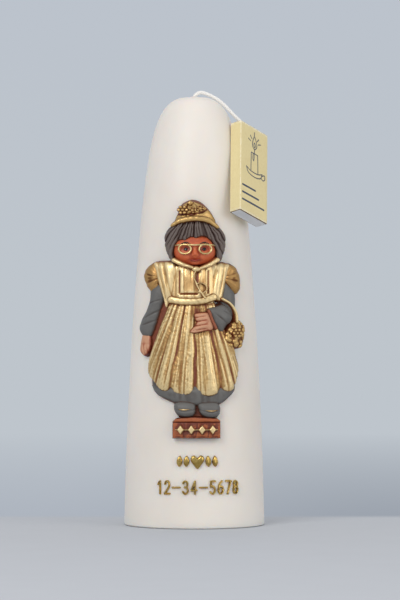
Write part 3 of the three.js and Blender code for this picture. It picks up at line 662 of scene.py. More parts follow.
def swept_tube(line, section, closed=False):
    """Points and faces of a tube along a line. section(travelled, turn) gives the radius."""
    sides = section.sides
    count = len(line)
    along = np.gradient(line, axis=0)
    if closed:
        along = np.roll(line, -1, axis=0) - np.roll(line, 1, axis=0)
    along /= np.linalg.norm(along, axis=1)[:, None]
    side = np.cross(along[0], (0, 1, 0) if abs(along[0][1]) < 0.9 else (1, 0, 0))
    points = []
    travelled = distance_along(line)
    for i in range(count):
        side = side - along[i] * np.dot(side, along[i])
        side /= np.linalg.norm(side)
        other = np.cross(along[i], side)
        for k in range(sides):
            turn = 2 * math.pi * k / sides
            aside = math.cos(turn) * side + math.sin(turn) * other
            points.append(line[i] + section(travelled[i], turn) * aside)
    if not closed:
        points += [line[0], line[-1]]
    return np.array(points), ring_faces(count, sides, closed)


class RoundSection:
    def __init__(self, radius, sides):
        self.radius, self.sides = radius, sides

    def __call__(self, travelled, turn):
        return self.radius


class BraidSection(RoundSection):
    """Strands that cross each other in a diamond pattern."""

    def __call__(self, travelled, turn):
        lay = 2 * math.pi * travelled / 5.2
        weave = max(abs(math.sin(2 * turn + lay)), abs(math.sin(2 * turn - lay)))
        return self.radius * (0.84 + 0.16 * weave)


def make_wick():
    line = smooth_path(WICK_ROUTE, 0.3 * COARSE)
    sides = 24
    section = BraidSection(WICK_DIAMETER / 2, sides)
    points, faces = swept_tube(line, section)
    radii = [section(s, 2 * math.pi * k / sides) for s in distance_along(line) for k in range(sides)]
    # How far each point dips between the braid's strands, which the cotton darkens as painted shade.
    hollow = np.concatenate([(1 - np.array(radii) / section.radius) * 5, [0, 0]]).clip(0, 1)
    tail = make_object("wick_free_end", points, faces, [COTTON], "candle", ["wick_tail"],
                       hollow, 70)


make_candle()
make_wick()

# ---- the figure ----

OUTLINES = {
    "hat_crown": [
        (-1.5, 136.5), (2.5, 135.6), (5.5, 133.5), (8, 130.8), (10, 127.5), (11.5, 123.5), (9.5, 121.3),
        (5, 123), (0.5, 123.8), (-4, 123.2), (-8.5, 121.8), (-10.8, 122), (-10.2, 126), (-8.8, 129),
        (-8.2, 132), (-6.5, 134.2), (-4, 135.6)],
    "hair": [
        (-12, 121.5), (-15, 117.5), (-15.5, 112), (-14.5, 107), (-12.5, 102), (-11, 99.8), (-9.6, 100.4),
        (-10.4, 104), (-10.2, 108), (-9.2, 111), (-7, 113.4), (-4.5, 113), (-2, 115), (1, 114.5), (4, 115.6),
        (7.2, 114), (9.2, 111), (10.6, 108), (11, 104.5), (11, 100.6), (12.5, 99.8), (14.5, 103), (16, 108),
        (16.5, 113), (15.5, 117.5), (13, 121), (7.5, 124), (0.5, 125), (-7, 123.8)],
    "face": [
        (-7.8, 115), (-10.4, 112.5), (-11.4, 108), (-10.6, 104), (-8, 101), (-4, 99.4), (0.5, 98.8),
        (5, 99.4), (9, 101.2), (11.6, 104.6), (12, 109), (9.8, 114), (4, 117), (-2, 117)],
    "puff_sleeve_left": [
        (-22.5, 101), (-27, 99), (-29.8, 95.7), (-30.4, 92), (-28.9, 88.3), (-26.1, 85), (-23.4, 83),
        (-19.5, 85.5), (-18.5, 92), (-19, 97.5)],
    "puff_sleeve_right": [
        (18.5, 99.8), (23.4, 98.7), (26, 94.7), (27.2, 90), (26.3, 85), (24, 82.2), (19.5, 83.5),
        (16, 88), (16.2, 94)],
    "sleeve_left": [
        (-25.5, 88.5), (-16.5, 89), (-15.5, 83), (-17, 78), (-19.4, 72), (-21.4, 66), (-23.6, 60.5),
        (-25.6, 57.8), (-29.8, 57.6), (-33.4, 59.5), (-34.8, 63), (-33, 68), (-29.4, 73), (-26.6, 80)],
    "hand_left": [
        (-31.4, 59.4), (-26, 59.2), (-25, 55), (-25.4, 51.5), (-27.2, 48.2), (-29.8, 46.8), (-32.6, 49),
        (-33.4, 52.5), (-33, 56)],
    "upper_sleeve_right": [
        (15.5, 91), (21, 87.5), (23.6, 83.5), (24.2, 78), (23.4, 73), (21.8, 69), (18, 70), (14.5, 76),
        (13.8, 82)],
    "skirt_hem": [
        (-23.5, 38.5), (-25.3, 33.5), (-24.8, 29), (-22.2, 25.6), (-18.5, 23.4), (-14, 21.5), (-9.5, 19.8),
        (0, 18.6), (8, 18.4), (13.8, 19.4), (18, 21.8), (21.6, 25), (23.8, 28.5), (24, 33), (22.5, 38.5)],
    "shoulder_frill_left": [
        (-22.5, 100.6), (-17, 101.4), (-11, 101), (-9, 98), (-9.5, 92), (-10.5, 86), (-12.2, 79.5),
        (-14.8, 74.5), (-16.8, 80.5), (-19, 87), (-21, 94)],
    "shoulder_frill_right": [
        (8.5, 100.2), (13.5, 100.8), (19.5, 99.4), (18.4, 93.5), (17, 88), (16, 83), (15, 79.6),
        (12.4, 78.4), (9, 81.5), (8.6, 90)],
    "bib": [
        (-10.5, 98.5), (-6, 99.5), (0.5, 98), (6, 99.5), (10, 99), (10.5, 89), (10.5, 80.5), (9.6, 76.8),
        (-11, 76.4), (-12, 80.5), (-12, 87), (-10.8, 93)],
    "apron": [
        (-12, 77.8), (-14.2, 75), (-16.2, 70), (-18.6, 64.5), (-21, 58), (-23.2, 52), (-25, 46),
        (-26.1, 40), (-25.7, 36.5), (-23.2, 33), (-20.6, 29.8), (-17.2, 27.2), (-14.2, 27), (-12.4, 28.6),
        (-10.8, 26.4), (-7.5, 24.8), (-4, 24.6), (-1.2, 26), (0.2, 27.6), (2, 25.8), (5, 24.3), (8.5, 24),
        (12, 25.6), (13.8, 28.2), (16, 27), (19, 26.6), (21.4, 28), (23, 32), (24.4, 37), (24.8, 41.5),
        (23.4, 46.5), (22.2, 51), (20.6, 55), (17.5, 60.5), (14, 67), (12, 74.5), (10.5, 77.8)],
    "shoe_left": [
        (-10.2, 20.6), (-11, 17), (-9.6, 14), (-7, 12.3), (-3.5, 11.9), (-0.4, 12.8), (1, 15.5),
        (0.4, 19.8), (-4.5, 21.4)],
    "shoe_right": [
        (2, 19.8), (2.2, 15.5), (4.5, 12.6), (8.5, 11.4), (12.2, 12), (14, 14.8), (13.8, 19),
        (11.5, 21), (6.5, 21.2)],
    "hand_right": [
        (0.2, 71.6), (4.2, 72.4), (7.9, 72), (10, 66.5), (9.4, 62), (4.5, 61), (0, 60), (-2.4, 61),
        (-0.8, 63.4), (0.8, 66.2), (0, 69)],
    "forearm_right": [
        (6.2, 74), (11.5, 76.2), (15, 77), (18.6, 74.5), (20.6, 69.6), (19.6, 66.4), (17, 64), (15, 60.6),
        (13, 60.8), (9.6, 64.2), (7.6, 68.6)],
    "handbag": [
        (21.6, 67.8), (25.2, 67.6), (28.2, 64.6), (29, 60.4), (28, 56.4), (27, 52.4), (23, 51),
        (19, 51.8), (16, 53.6), (15.4, 56.6), (16, 60), (17.6, 63), (19.4, 65.6)],
}


def streak(share, up, count, seed=0.0, length=0.02):
    """Long soft unevenness that runs down a gathered cloth."""
    return np.array([noise.noise(Vector((c * count, u * length, seed))) for c, u in zip(share, up)])


def hair_depth(across, up, edge):
    v = up - FIGURE_BASE
    turn = np.arctan2(across - 0.5, 136 - v)
    wander = 1.1 * rumple(across, up, 0.25, 3.1)
    strand = crease(turn * 40 + wander, 0.8)
    lock = streak(turn, v, 11.0, 8.0, 0.03)
    return 2.6 + 3.0 * rounded(edge, 0.9) + 1.2 * swell(edge, 4) + 0.75 * strand + 0.9 * lock - 0.6


def hair_bare(across, up):
    v = up - FIGURE_BASE
    return 0.9 * np.clip((v - 122.6 + 0.018 * (across - 0.5) ** 2) / 0.8, 0, 1)


def hat_depth(across, up, edge):
    v = up - FIGURE_BASE
    turn = np.arctan2(across + 2.5, 137.5 - v)
    drape = 0.9 * streak(turn, v, 3.2, 2.0, 0.06) + 0.4 * streak(turn, v, 8.0, 5.0, 0.1)
    return 2.6 + 1.3 * rounded(edge, 1.3) + 3.4 * swell(edge, 6.5) + drape - 0.9 * hat_crease(across, v)


def hat_crease(across, v):
    """The line under the flowers, which climbs to the right."""
    line = 128.3 + 0.035 * (across + 2.5) ** 2 * (across > -2.5)
    ends = np.clip((7.5 - across) / 2, 0, 1) * np.clip((across + 9) / 1.5, 0, 1)
    return np.exp(-(((v - line) / 0.6) ** 2)) * ends


def hat_bare(across, up):
    return 0.7 * hat_crease(across, up - FIGURE_BASE)


FACE_MIDDLE = 0.4


def face_depth(across, up, edge):
    v = up - FIGURE_BASE
    deep = 2.6 + 0.9 * rounded(edge, 1.4) + 3.0 * swell(edge, 9.5, 2.2)
    features = [  # height, place, size: nose, its bridge, mouth and chin
        (1.5, (0, 105.6), (1.15, 1.5)), (0.8, (0, 107.8), (0.75, 2.2)),
        (-0.45, (0, 102.3), (2.6, 0.45)), (0.6, (0, 99.9), (2.0, 1.2))]
    for side in (-1, 1):  # nostrils, cheeks, eye sockets and brows
        features += [(0.35, (side * 1.15, 105.0), (0.6, 0.6)), (0.6, (side * 5.1, 104.4), (2.4, 2.2)),
                     (-0.75, (side * 4.4, 108.6), (2.1, 1.5)), (0.4, (side * 4.2, 111.2), (3.0, 0.9))]
    for height, (aside, level), size in features:
        deep += height * bell(across, v, (FACE_MIDDLE + aside, level), size)
    return deep


def bib_depth(across, up, edge):
    v = up - FIGURE_BASE
    folds = 0.6 * streak(across, v, 0.4, 3.0, 0.03) + 0.35 * streak(across, v, 1.0, 6.0, 0.05)
    deep = 3.4 + 0.9 * rounded(edge, 0.9) + 1.3 * swell(edge, 8) + folds
    return deep - 0.9 * bib_grooves(across, v)


def bib_grooves(across, v):
    """The edge of the inner panel, drawn round three of its sides; the groove along its foot stops short of
    the right side.
    """
    upright = np.clip((v - 82.4) / 0.6, 0, 1) * np.clip((97 - v) / 1.5, 0, 1)
    sides = np.exp(-(((np.abs(across + 0.2) - 7.2) / 0.5) ** 2)) * upright
    foot = np.exp(-(((v - 82.7) / 0.5) ** 2)) * (np.abs(across + 0.2) < 7.2)
    return np.maximum(sides, foot * np.clip((2.2 - across) / 1.0, 0, 1))


def bib_bare(across, up):
    v = up - FIGURE_BASE
    opening = bell(across, v, (1.8, 90), (2.4, 6.0)) * 0.75
    return 0.3 * bib_grooves(across, v) + opening


APRON_SEAMS = ((-0.78, 0.45), (-0.47, 0.75), (0.0, 1.0), (0.5, 0.75), (0.8, 0.45))


def apron_depth(across, up, edge):
    v = up - FIGURE_BASE
    reach = 10.5 + np.clip(78 - v, 0, 60) * 0.36
    share = (across - 0.3) / reach
    lower = np.clip((78 - v) / 48, 0, 1)
    deep = 3.4 + 0.9 * rounded(edge, 1.0) + 0.7 * swell(edge, 9) + 0.9 * lower * rounded(edge, 4.0)
    for seam, strength in APRON_SEAMS:
        aside = np.abs((share - seam) * reach + 0.9 * streak(share, v, 0.0, 9 * seam, 0.09))
        deep -= strength * (0.3 + 1.0 * lower) * np.exp(-((aside / (0.4 + 0.8 * lower)) ** 1.3))
    deep += 0.8 * streak(share, v, 3.6, 1.7) + 0.55 * streak(share, v, 8.0, 5.2)
    deep += 0.4 * streak(share, v, 19.0, 7.7, 0.03) + 0.3 * streak(share, v, 34.0, 2.9, 0.04)
    deep -= 0.8 * bell(across, v, (3.5, 67.0), (6.0, 6.5))
    return deep + 0.1 * rumple(across, up, 0.8, 2.0)


def apron_bare(across, up):
    v = up - FIGURE_BASE
    return (0.75 * bell(across, v, (1.0, 72.5), (4.0, 3.2)) + 0.6 * bell(across, v, (6.5, 60.6), (5.5, 1.6))
            + 0.7 * bell(across, v, (15.5, 60), (2.6, 4.5)) + 0.75 * np.clip((v - 75.3) / 1.2, 0, 1))


def skirt_depth(across, up, edge):
    v = up - FIGURE_BASE
    share = across / 25
    folds = streak(share, v, 5.0, 4.0, 0.03) + 0.5 * streak(share, v, 11.0, 6.0, 0.05)
    under_apron = 1.4 * np.clip((v - 27) / 4, 0, 1)
    return 1.6 + 1.6 * rounded(edge, 2.2) + 1.2 * swell(edge, 6) + 0.5 * folds - under_apron


def puff_depth(origin, turns, seed):
    def depth(across, up, edge):
        v = up - FIGURE_BASE
        turn = np.arctan2(v - origin[1], (across - origin[0]) * math.copysign(1, origin[0]))
        folds = 0.9 * streak(turn, v, turns, seed, 0.02) + 0.4 * streak(turn, v, turns * 2.4, seed + 4, 0.04)
        return 1.6 + 1.2 * rounded(edge, 1.4) + 2.8 * swell(edge, 4.2) + folds
    return depth


def frill_depth(slant, seed):
    def depth(across, up, edge):
        v = up - FIGURE_BASE
        fan = across - slant * (v - 101)
        folds = 1.0 * streak(fan, v, 0.17, seed, 0.015) + 0.5 * streak(fan, v, 0.4, seed + 5, 0.03)
        folds += 0.3 * streak(fan, v, 1.1, seed + 9, 0.05)
        return 3.2 + 0.9 * rounded(edge, 0.9) + 1.5 * swell(edge, 4) + folds
    return depth


def sleeve_depth(rim, crown, reach, bends, seed):
    def depth(across, up, edge):
        v = up - FIGURE_BASE
        deep = rim * 0.4 + rim * 0.6 * rounded(edge, 1.6) + crown * swell(edge, reach)
        for middle, size, slope in bends:
            line = (v - middle[1]) - slope * (across - middle[0])
            deep -= 0.55 * np.exp(-((line / 0.55) ** 2)) * np.exp(-(((across - middle[0]) / size) ** 2))
        return deep + 0.15 * rumple(across, up, 0.35, seed)
    return depth


def hand_left_depth(across, up, edge):
    v = up - FIGURE_BASE
    fingers = crease((across + 28 + 0.14 * (v - 50)) * math.pi / 2.05, 0.5)
    share = np.clip((54 - v) / 3.5, 0, 1)
    return 1.4 + 1.1 * rounded(edge, 1.1) + 1.4 * swell(edge, 3.4) + 0.7 * fingers * share


def hand_right_depth(across, up, edge):
    v = up - FIGURE_BASE
    fingers = crease((v - 61.2 - 0.22 * (across - 3)) * math.pi / 2.4, 0.5)
    share = np.clip((6.6 - across) / 3, 0, 1)
    return 4.6 + 1.3 * rounded(edge, 1.1) + 1.5 * swell(edge, 3.6) + 0.9 * fingers * share


def handbag_depth(across, up, edge):
    v = up - FIGURE_BASE
    near = np.array([noise.voronoi(Vector((a / 2.6, u / 2.6, 0.5)))[0][0] for a, u in zip(across, v)])
    knobs = np.sqrt(np.clip(1 - (near / 0.62) ** 2, 0, 1))
    return 2.6 + 1.2 * rounded(edge, 1.3) + 2.0 * swell(edge, 5) + 1.2 * knobs


def shoe_depth(toe):
    def depth(across, up, edge):
        v = up - FIGURE_BASE
        seam = np.exp(-(((v - toe[1] - 0.05 * (across - toe[0]) ** 2) / 0.35) ** 2))
        return 2.6 + 1.4 * rounded(edge, 1.5) + 2.4 * swell(edge, 4) - 0.4 * seam
    return depth


def flower_depth(middle, petals, base):
    def depth(across, up, edge):
        v = up - FIGURE_BASE
        radius = np.hypot(across - middle[0], v - middle[1])
        angle = np.arctan2(v - middle[1], across - middle[0])
        petal = crease(angle * petals / 2, 0.5) * np.clip(radius / 1.0, 0, 1)
        button = 0.9 * np.exp(-((radius / 0.55) ** 2)) - 0.5 * np.exp(-(((radius - 1.0) / 0.35) ** 2))
        return base + 0.8 * rounded(edge, 0.6) + 0.7 * petal + button
    return depth


def petal_loop(middle, radius, petals):
    turns = np.linspace(0, 2 * math.pi, int(60 / COARSE) + 1)[:-1]
    reach = radius * (0.84 + 0.16 * np.abs(np.cos(petals / 2 * turns)) ** 0.6)
    return np.stack([middle[0] + reach * np.cos(turns), FIGURE_BASE + middle[1] + reach * np.sin(turns)], 1)


FIGURE_SHAPES = [
    # name of the outline and the node, depth, material, slot
    ("skirt_hem", skirt_depth, GREY, "grey_paint"),
    ("hand_left", hand_left_depth, HAND_CLAY, "clay_paint"),
    ("sleeve_left",
     sleeve_depth(2.2, 3.0, 6.0, [((-24, 71), 5, 0.5), ((-26, 66), 5, 0.35), ((-23, 78), 4, 0.3)], 1.0),
     GREY, "grey_paint"),
    ("upper_sleeve_right", sleeve_depth(2.2, 3.0, 5.0, [((20, 76), 3.5, -0.4)], 2.0), GREY, "grey_paint"),
    ("puff_sleeve_left", puff_depth((-18, 92), 2.2, 1.0), PUFF_SHADED_GOLD, "gold_paint"),
    ("puff_sleeve_right", puff_depth((15, 92), 2.2, 2.0), PUFF_SHADED_GOLD, "gold_paint"),
    ("face", face_depth, CLAY, "clay_paint"),
    ("hair", hair_depth, HAIR, "grey_paint"),
    ("hat_crown", hat_depth, SHADED_GOLD, "gold_paint"),
    ("shoulder_frill_left", frill_depth(-0.22, 1.0), LIT_GOLD, "gold_paint"),
    ("shoulder_frill_right", frill_depth(0.2, 2.0), LIT_GOLD, "gold_paint"),
    ("bib", bib_depth, LIT_GOLD, "gold_paint"),
    ("apron", apron_depth, GOLD, "gold_paint"),
    ("shoe_left", shoe_depth((-4.6, 15.4)), GREY, "grey_paint"),
    ("shoe_right", shoe_depth((8.2, 15)), GREY, "grey_paint"),
    ("hand_right", hand_right_depth, HAND_CLAY, "clay_paint"),
    ("forearm_right", sleeve_depth(4.8, 3.2, 5.0, [((13, 69), 4, -0.9), ((16, 72), 3, -0.6)], 3.0),
     GREY, "grey_paint"),
    ("handbag", handbag_depth, SHADED_GOLD, "gold_paint"),
]

BARE = {"hair": hair_bare, "hat_crown": hat_bare, "bib": bib_bare, "apron": apron_bare}
FINE_PITCH = {"hair": 0.3, "handbag": 0.35, "hand_left": 0.35, "hand_right": 0.35}

for shape_name, shape_depth, shape_paint, shape_slot in FIGURE_SHAPES:
    patch(f"painted_{shape_name}", [figure_loop(OUTLINES[shape_name])], shape_depth, shape_paint,
          [shape_name], pitch=FINE_PITCH.get(shape_name, 0.45), bare=BARE.get(shape_name))


def grown(loop, amount):
    """A counter-clockwise or clockwise loop, moved outwards by the amount."""
    along = np.roll(loop, -1, axis=0) - np.roll(loop, 1, axis=0)
    along /= np.linalg.norm(along, axis=1)[:, None]
    following = np.roll(loop, -1, axis=0)
    turning = np.sign((loop[:, 0] * following[:, 1] - following[:, 0] * loop[:, 1]).sum())
    return loop + turning * amount * np.stack([along[:, 1], -along[:, 0]], axis=1)


def make_ground():
    """The thin layer that the figure was cast on, which shows round it and in its gaps."""
    shapes = [points for name, points in OUTLINES.items() if name != "face"]
    loops = [grown(figure_loop(points, spacing=0.8), 0.45) for points in shapes]
    gaps = [
        [(-20, 88), (-14, 77), (-18.6, 64), (-23, 50), (-26.5, 47), (-28, 54), (-23, 66), (-20, 74)],
        [(14, 70), (19, 72), (22, 66), (18, 60), (17, 54), (22, 50.5), (18.5, 49), (14, 58)],
        [(-9, 22), (12, 22), (12, 12), (-9, 12)],
    ]
    loops += [figure_loop(points, smooth=False, spacing=0.8) for points in gaps]

    def depth(across, up, edge):
        return 0.5 + 0.9 * rounded(edge, 0.9) + 0.15 * rumple(across, up, 0.6, 4.0)

    patch("painted_ground", loops, depth, GROUND_CLAY, pitch=0.8, gain=0.8)


make_ground()


def roll(base, height, radius, ripple=0.0):
    def depth(across, up, edge):
        wave = ripple * np.cos(across * 2.4 + up) if ripple else 0
        return base + (height + wave) * rounded(edge, radius)
    return depth


BANDS = [
    # name, path, width, depth, material
    ("hat_brim", [(-10.6, 122), (-6.5, 124.8), (0.5, 126), (6.5, 124.9), (11.2, 121)],
     [2.4, 4.0, 4.0, 3.8, 2.4], roll(5.4, 2.9, 1.9, 0.1), SHADED_GOLD),
    ("collar_left", [(-9.8, 102), (-5.4, 99.6), (-1.0, 97.9)], [3.0, 2.8, 2.0],
     roll(5.8, 2.2, 1.3, 0.1), LIT_GOLD),
    ("collar_right", [(11.2, 102.2), (7.4, 99.4), (3.0, 97.4)], [3.0, 2.8, 2.0],
     roll(5.8, 2.2, 1.3, 0.1), LIT_GOLD),
    ("waistband", [(-11.6, 79.4), (-6, 78.4), (0, 78.3), (5, 79), (9.6, 80.8)], 4.6,
     roll(5.0, 1.5, 2.1, 0.05), GOLD),
    ("cuff_right", [(7.0, 73), (8.6, 68), (10.6, 63)], 1.9, roll(6.4, 1.9, 0.9), GROUND_CLAY),
    ("handbag_strap", [(14.2, 79.8), (18.6, 76.8), (21.6, 71.8), (22.4, 66.6)], 1.9,
     roll(5.2, 2.0, 0.9), GOLD),
]
for band_name, band_path, band_width, band_depth, band_paint in BANDS:
    patch(f"painted_{band_name}", [figure_stroke(band_path, band_width)], band_depth, band_paint,
          [band_name], pitch=0.4, floor=1.0)

COLLAR_KNOT = [(-1.2, 97.6), (0.8, 98.8), (3.2, 97.6), (3.2, 96), (1.0, 95), (-1.0, 95.8)]
patch("painted_collar_knot", [figure_loop(COLLAR_KNOT)], roll(6.0, 2.4, 1.6), GOLD,
      ["collar_knot"], pitch=0.35, floor=2.0)
CLASP_MIDDLE = (22, 60.2)
patch("painted_handbag_clasp", [petal_loop(CLASP_MIDDLE, 2.9, 6)], flower_depth(CLASP_MIDDLE, 6, 6.4),
      SHADED_GOLD, ["handbag_clasp"], pitch=0.3, floor=3.0, border=0.12)
# middle, radius, number of petals
HAT_FLOWERS = [((-5.4, 130.9), 2.7, 6), ((-0.9, 130.7), 2.0, 5), ((2.8, 131.6), 1.9, 5)]
for flower, (middle, radius, petals) in enumerate(HAT_FLOWERS, 1):
    patch(f"painted_hat_flower_{flower}", [petal_loop(middle, radius, petals)],
          flower_depth(middle, petals, 7.0), SHADED_GOLD, [f"hat_flower_{flower}"],
          pitch=0.3, floor=3.0)
patch("painted_ribbon", [
    figure_stroke([(0.6, 96), (-0.2, 92.5), (0.8, 89.4), (1.8, 86.4), (5.2, 80.4)],
                  [1.1, 1.0, 1.2, 1.2, 1.4]),
    figure_stroke([(0.8, 88.4), (3.4, 89), (5.6, 87.4), (5.8, 84.8), (3.6, 83.2), (1.6, 84.4)], 1.0),
], roll(6.0, 1.9, 0.55), GOLD, ["ribbon"], pitch=0.3, floor=3.0)

patch("painted_hat_knob", [petal_loop((-1.9, 134.9), 1.7, 4)], roll(5.6, 2.0, 1.5), SHADED_GOLD,
      pitch=0.3, floor=2.0)
for side_name, toe in (("left", (-5.0, 16.4)), ("right", (8.4, 15.7))):
    patch(f"painted_shoe_glint_{side_name}", [figure_stroke(
        [(toe[0] - 3.4, toe[1] + 0.5), (toe[0], toe[1]), (toe[0] + 3.4, toe[1] + 0.4)], [0.4, 1.2, 0.4])],
        roll(6.0, 0.75, 0.6), GOLD, pitch=0.3, floor=3.0)

# ---- the face's small features, of a plain doll's design ----


def face_patch(name, loops, lift, material, radius=0.5, height=0.35):
    def depth(across, up, edge):
        return face_depth(across, up, 9.0 + 0 * edge) - 0.1 + lift + height * rounded(edge, radius)
    patch(name, loops, depth, material, pitch=0.25, floor=4.0, gain=0)


for side, side_name in ((-1, "left"), (1, "right")):
    centre = 0.4 + side * 4.5
    face_patch(f"face_eye_{side_name}", [petal_loop((centre, 108.3), 0.95, 0)], 0.02, EYE, 0.95, 0.55)
    brow = [(centre - 2.1, 111.6), (centre, 112.3), (centre + 2.1, 111.6)]
    face_patch(f"face_brow_{side_name}", [figure_stroke(brow, [0.3, 0.7, 0.3])], 0.02, BROW)
lips = [(-1.9, 102.5), (0.4, 101.9), (2.7, 102.5)]
face_patch("face_lips", [figure_stroke(lips, [0.4, 1.1, 0.4])], 0.05, LIP)


# ---- the spectacles: two wire rims, a bridge and two arms ----

def on_face(across, up, lift):
    return on_wax(np.asarray(across, float), np.asarray(up, float) + FIGURE_BASE, np.asarray(lift, float))


def make_spectacles():
    points, faces = [], []

    def add(line, radius, closed=False):
        more, links = swept_tube(line, RoundSection(radius, 10), closed)
        start = sum(len(p) for p in points)
        points.append(more)
        faces.extend([[start + i for i in face] for face in links])

    turns = np.linspace(0, 2 * math.pi, 49)[:-1]
    for side in (-1, 1):
        centre = 0.4 + side * 4.8
        add(on_face(centre + 2.9 * np.cos(turns), 108.4 + 2.7 * np.sin(turns), 7.8 + 0 * turns), 0.5, True)
    bar = smooth_path([(-9.4, 110.4, 5.6), (-7.4, 110.8, 7.4), (-3, 110.9, 8.0), (0.4, 110.7, 8.3),
                       (3.8, 110.9, 8.0), (8.2, 110.8, 7.4), (10.2, 110.4, 5.6)], 0.3)
    add(on_face(bar[:, 0], bar[:, 1], bar[:, 2]), 0.45)
    make_object("wire_spectacles", np.concatenate(points), faces, [WIRE_GOLD], "candle",
                ["spectacles"], sharp=70)


make_spectacles()

# ---- the plinth ----


def plinth_depth(across, up, edge):
    v = up - FIGURE_BASE
    deep = 3.6 + 1.3 * rounded(edge, 0.7)
    deep += 0.35 * (v > 9.4) - 0.55 * np.exp(-(((v - 9.3) / 0.35) ** 2))
    deep -= 0.3 * np.exp(-(((v - 0.9) / 0.3) ** 2))
    for joint in (-5.2, 1.2, 7.6):
        deep -= 0.25 * np.exp(-(((across - joint - 0.1 * (v - 5)) / 0.3) ** 2)) * (v > 1) * (v < 9)
    return deep + 0.22 * rumple(across, up, 0.35, 6.0) + 0.12 * rumple(across, up, 1.2, 2.0)


PLINTH = [(-11.6, 9.5), (-9.5, 11.6), (0, 12.4), (12, 11.6), (14, 9.8), (14, 0), (-11.6, 0)]
patch("painted_plinth", [figure_loop(PLINTH, smooth=False)], plinth_depth, PLINTH_CLAY,
      ["plinth"], sharp=40)


def plinth_ornament():
    middle, pitch = 1.2, 5.4
    loops = [figure_stroke([(middle - 10.6, 5), (middle + 10.6, 5)], 0.9, smooth=False)]
    for i in range(4):
        across = middle + (i - 1.5) * pitch
        diamond = [(across - 2, 5), (across, 8), (across + 2, 5), (across, 2)]
        loops.append(figure_loop(diamond, smooth=False, spacing=0.3))
    patch("painted_plinth_ornament", loops, roll(5.2, 1.4, 0.7), GOLD, ["plinth_ornament"],
          pitch=0.35, floor=3.0)


plinth_ornament()

# ---- the numerals and the ornament row ----

NUMERAL_HEIGHT, NUMERAL_WIDTH, DASH_WIDTH, GLYPH_SPACE = 8.3, 4.2, 5.4, 0.6
STROKE_WIDTH, LETTERING_TOP = 1.1, 1.35
ROW_FOOT, ROW_CENTRE = 19.6, 2.2
ORNAMENT_MIDDLE, ORNAMENT_CENTRE = 38.4, 1.8


def arc(x, z, half_width, half_height, start, end):
    turns = np.radians(np.linspace(start, end, 9))
    return [(x + half_width * math.cos(t), z + half_height * math.sin(t)) for t in turns]


NUMERALS = {
    "1": [(False, [(0.2, 0.74), (0.62, 1), (0.62, 0)])],
    "2": [(True, arc(0.5, 0.72, 0.42, 0.28, 170, -30) + [(0.5, 0.3), (0.06, 0.03)]),
          (False, [(0.02, 0.0), (0.98, 0.0)])],
    "3": [(True, arc(0.46, 0.75, 0.4, 0.25, 160, -100)), (True, arc(0.46, 0.27, 0.46, 0.27, 100, -160))],
    "4": [(False, [(0.7, 0), (0.7, 1)]), (False, [(0.7, 0.98), (0.04, 0.3)]),
          (False, [(0.0, 0.28), (1, 0.28)])],
    "5": [(False, [(0.95, 1), (0.18, 1)]), (False, [(0.2, 1), (0.14, 0.52)]),
          (True, arc(0.46, 0.3, 0.46, 0.3, 130, -150))],
    "6": [(True, arc(0.5, 0.3, 0.44, 0.3, 0, 190)), (True, arc(0.5, 0.3, 0.44, 0.3, 170, 370)),
          (True, [(0.06, 0.3), (0.24, 0.72), (0.74, 1)])],
    "7": [(False, [(0.02, 1), (0.94, 1)]), (False, [(0.92, 0.98), (0.36, 0)])],
    "8": [(True, arc(0.5, 0.75, 0.36, 0.24, -10, 190)), (True, arc(0.5, 0.75, 0.36, 0.24, 170, 370)),
          (True, arc(0.5, 0.27, 0.44, 0.27, -10, 190)), (True, arc(0.5, 0.27, 0.44, 0.27, 170, 370))],
}


def lettering_depth(across, up, edge):
    return 0.75 + (LETTERING_TOP - 0.75) * rounded(edge, 0.3)


def lettering(name, loops, node_name):
    patch(name, loops, lettering_depth, LETTER_GOLD, [node_name],
          pitch=0.4, gain=0, sharp=50)


def make_numerals():
    text = "12-34-5678"
    widths = [DASH_WIDTH if glyph == "-" else NUMERAL_WIDTH for glyph in text]
    left = ROW_CENTRE - (sum(widths) + GLYPH_SPACE * (len(text) - 1)) / 2
    dashes = 0
    inset = STROKE_WIDTH / 2
    for glyph, width in zip(text, widths):
        if glyph == "-":
            dashes += 1
            level = ROW_FOOT + NUMERAL_HEIGHT / 2
            line = [(left + inset, level), (left + width - inset, level)]
            lettering(f"gold_dash_{dashes}", [stroke(line, 1.0, False, 0.3)], f"dash_{dashes}")
        else:
            loops = []
            for curved, points in NUMERALS[glyph]:
                placed = [(left + inset + x * (NUMERAL_WIDTH - STROKE_WIDTH),
                           ROW_FOOT + inset + z * (NUMERAL_HEIGHT - STROKE_WIDTH)) for x, z in points]
                loops.append(stroke(placed, STROKE_WIDTH, curved, 0.3))
            lettering(f"gold_numeral_{glyph}", loops, f"numeral_{glyph}")
        left += width + GLYPH_SPACE


make_numerals()


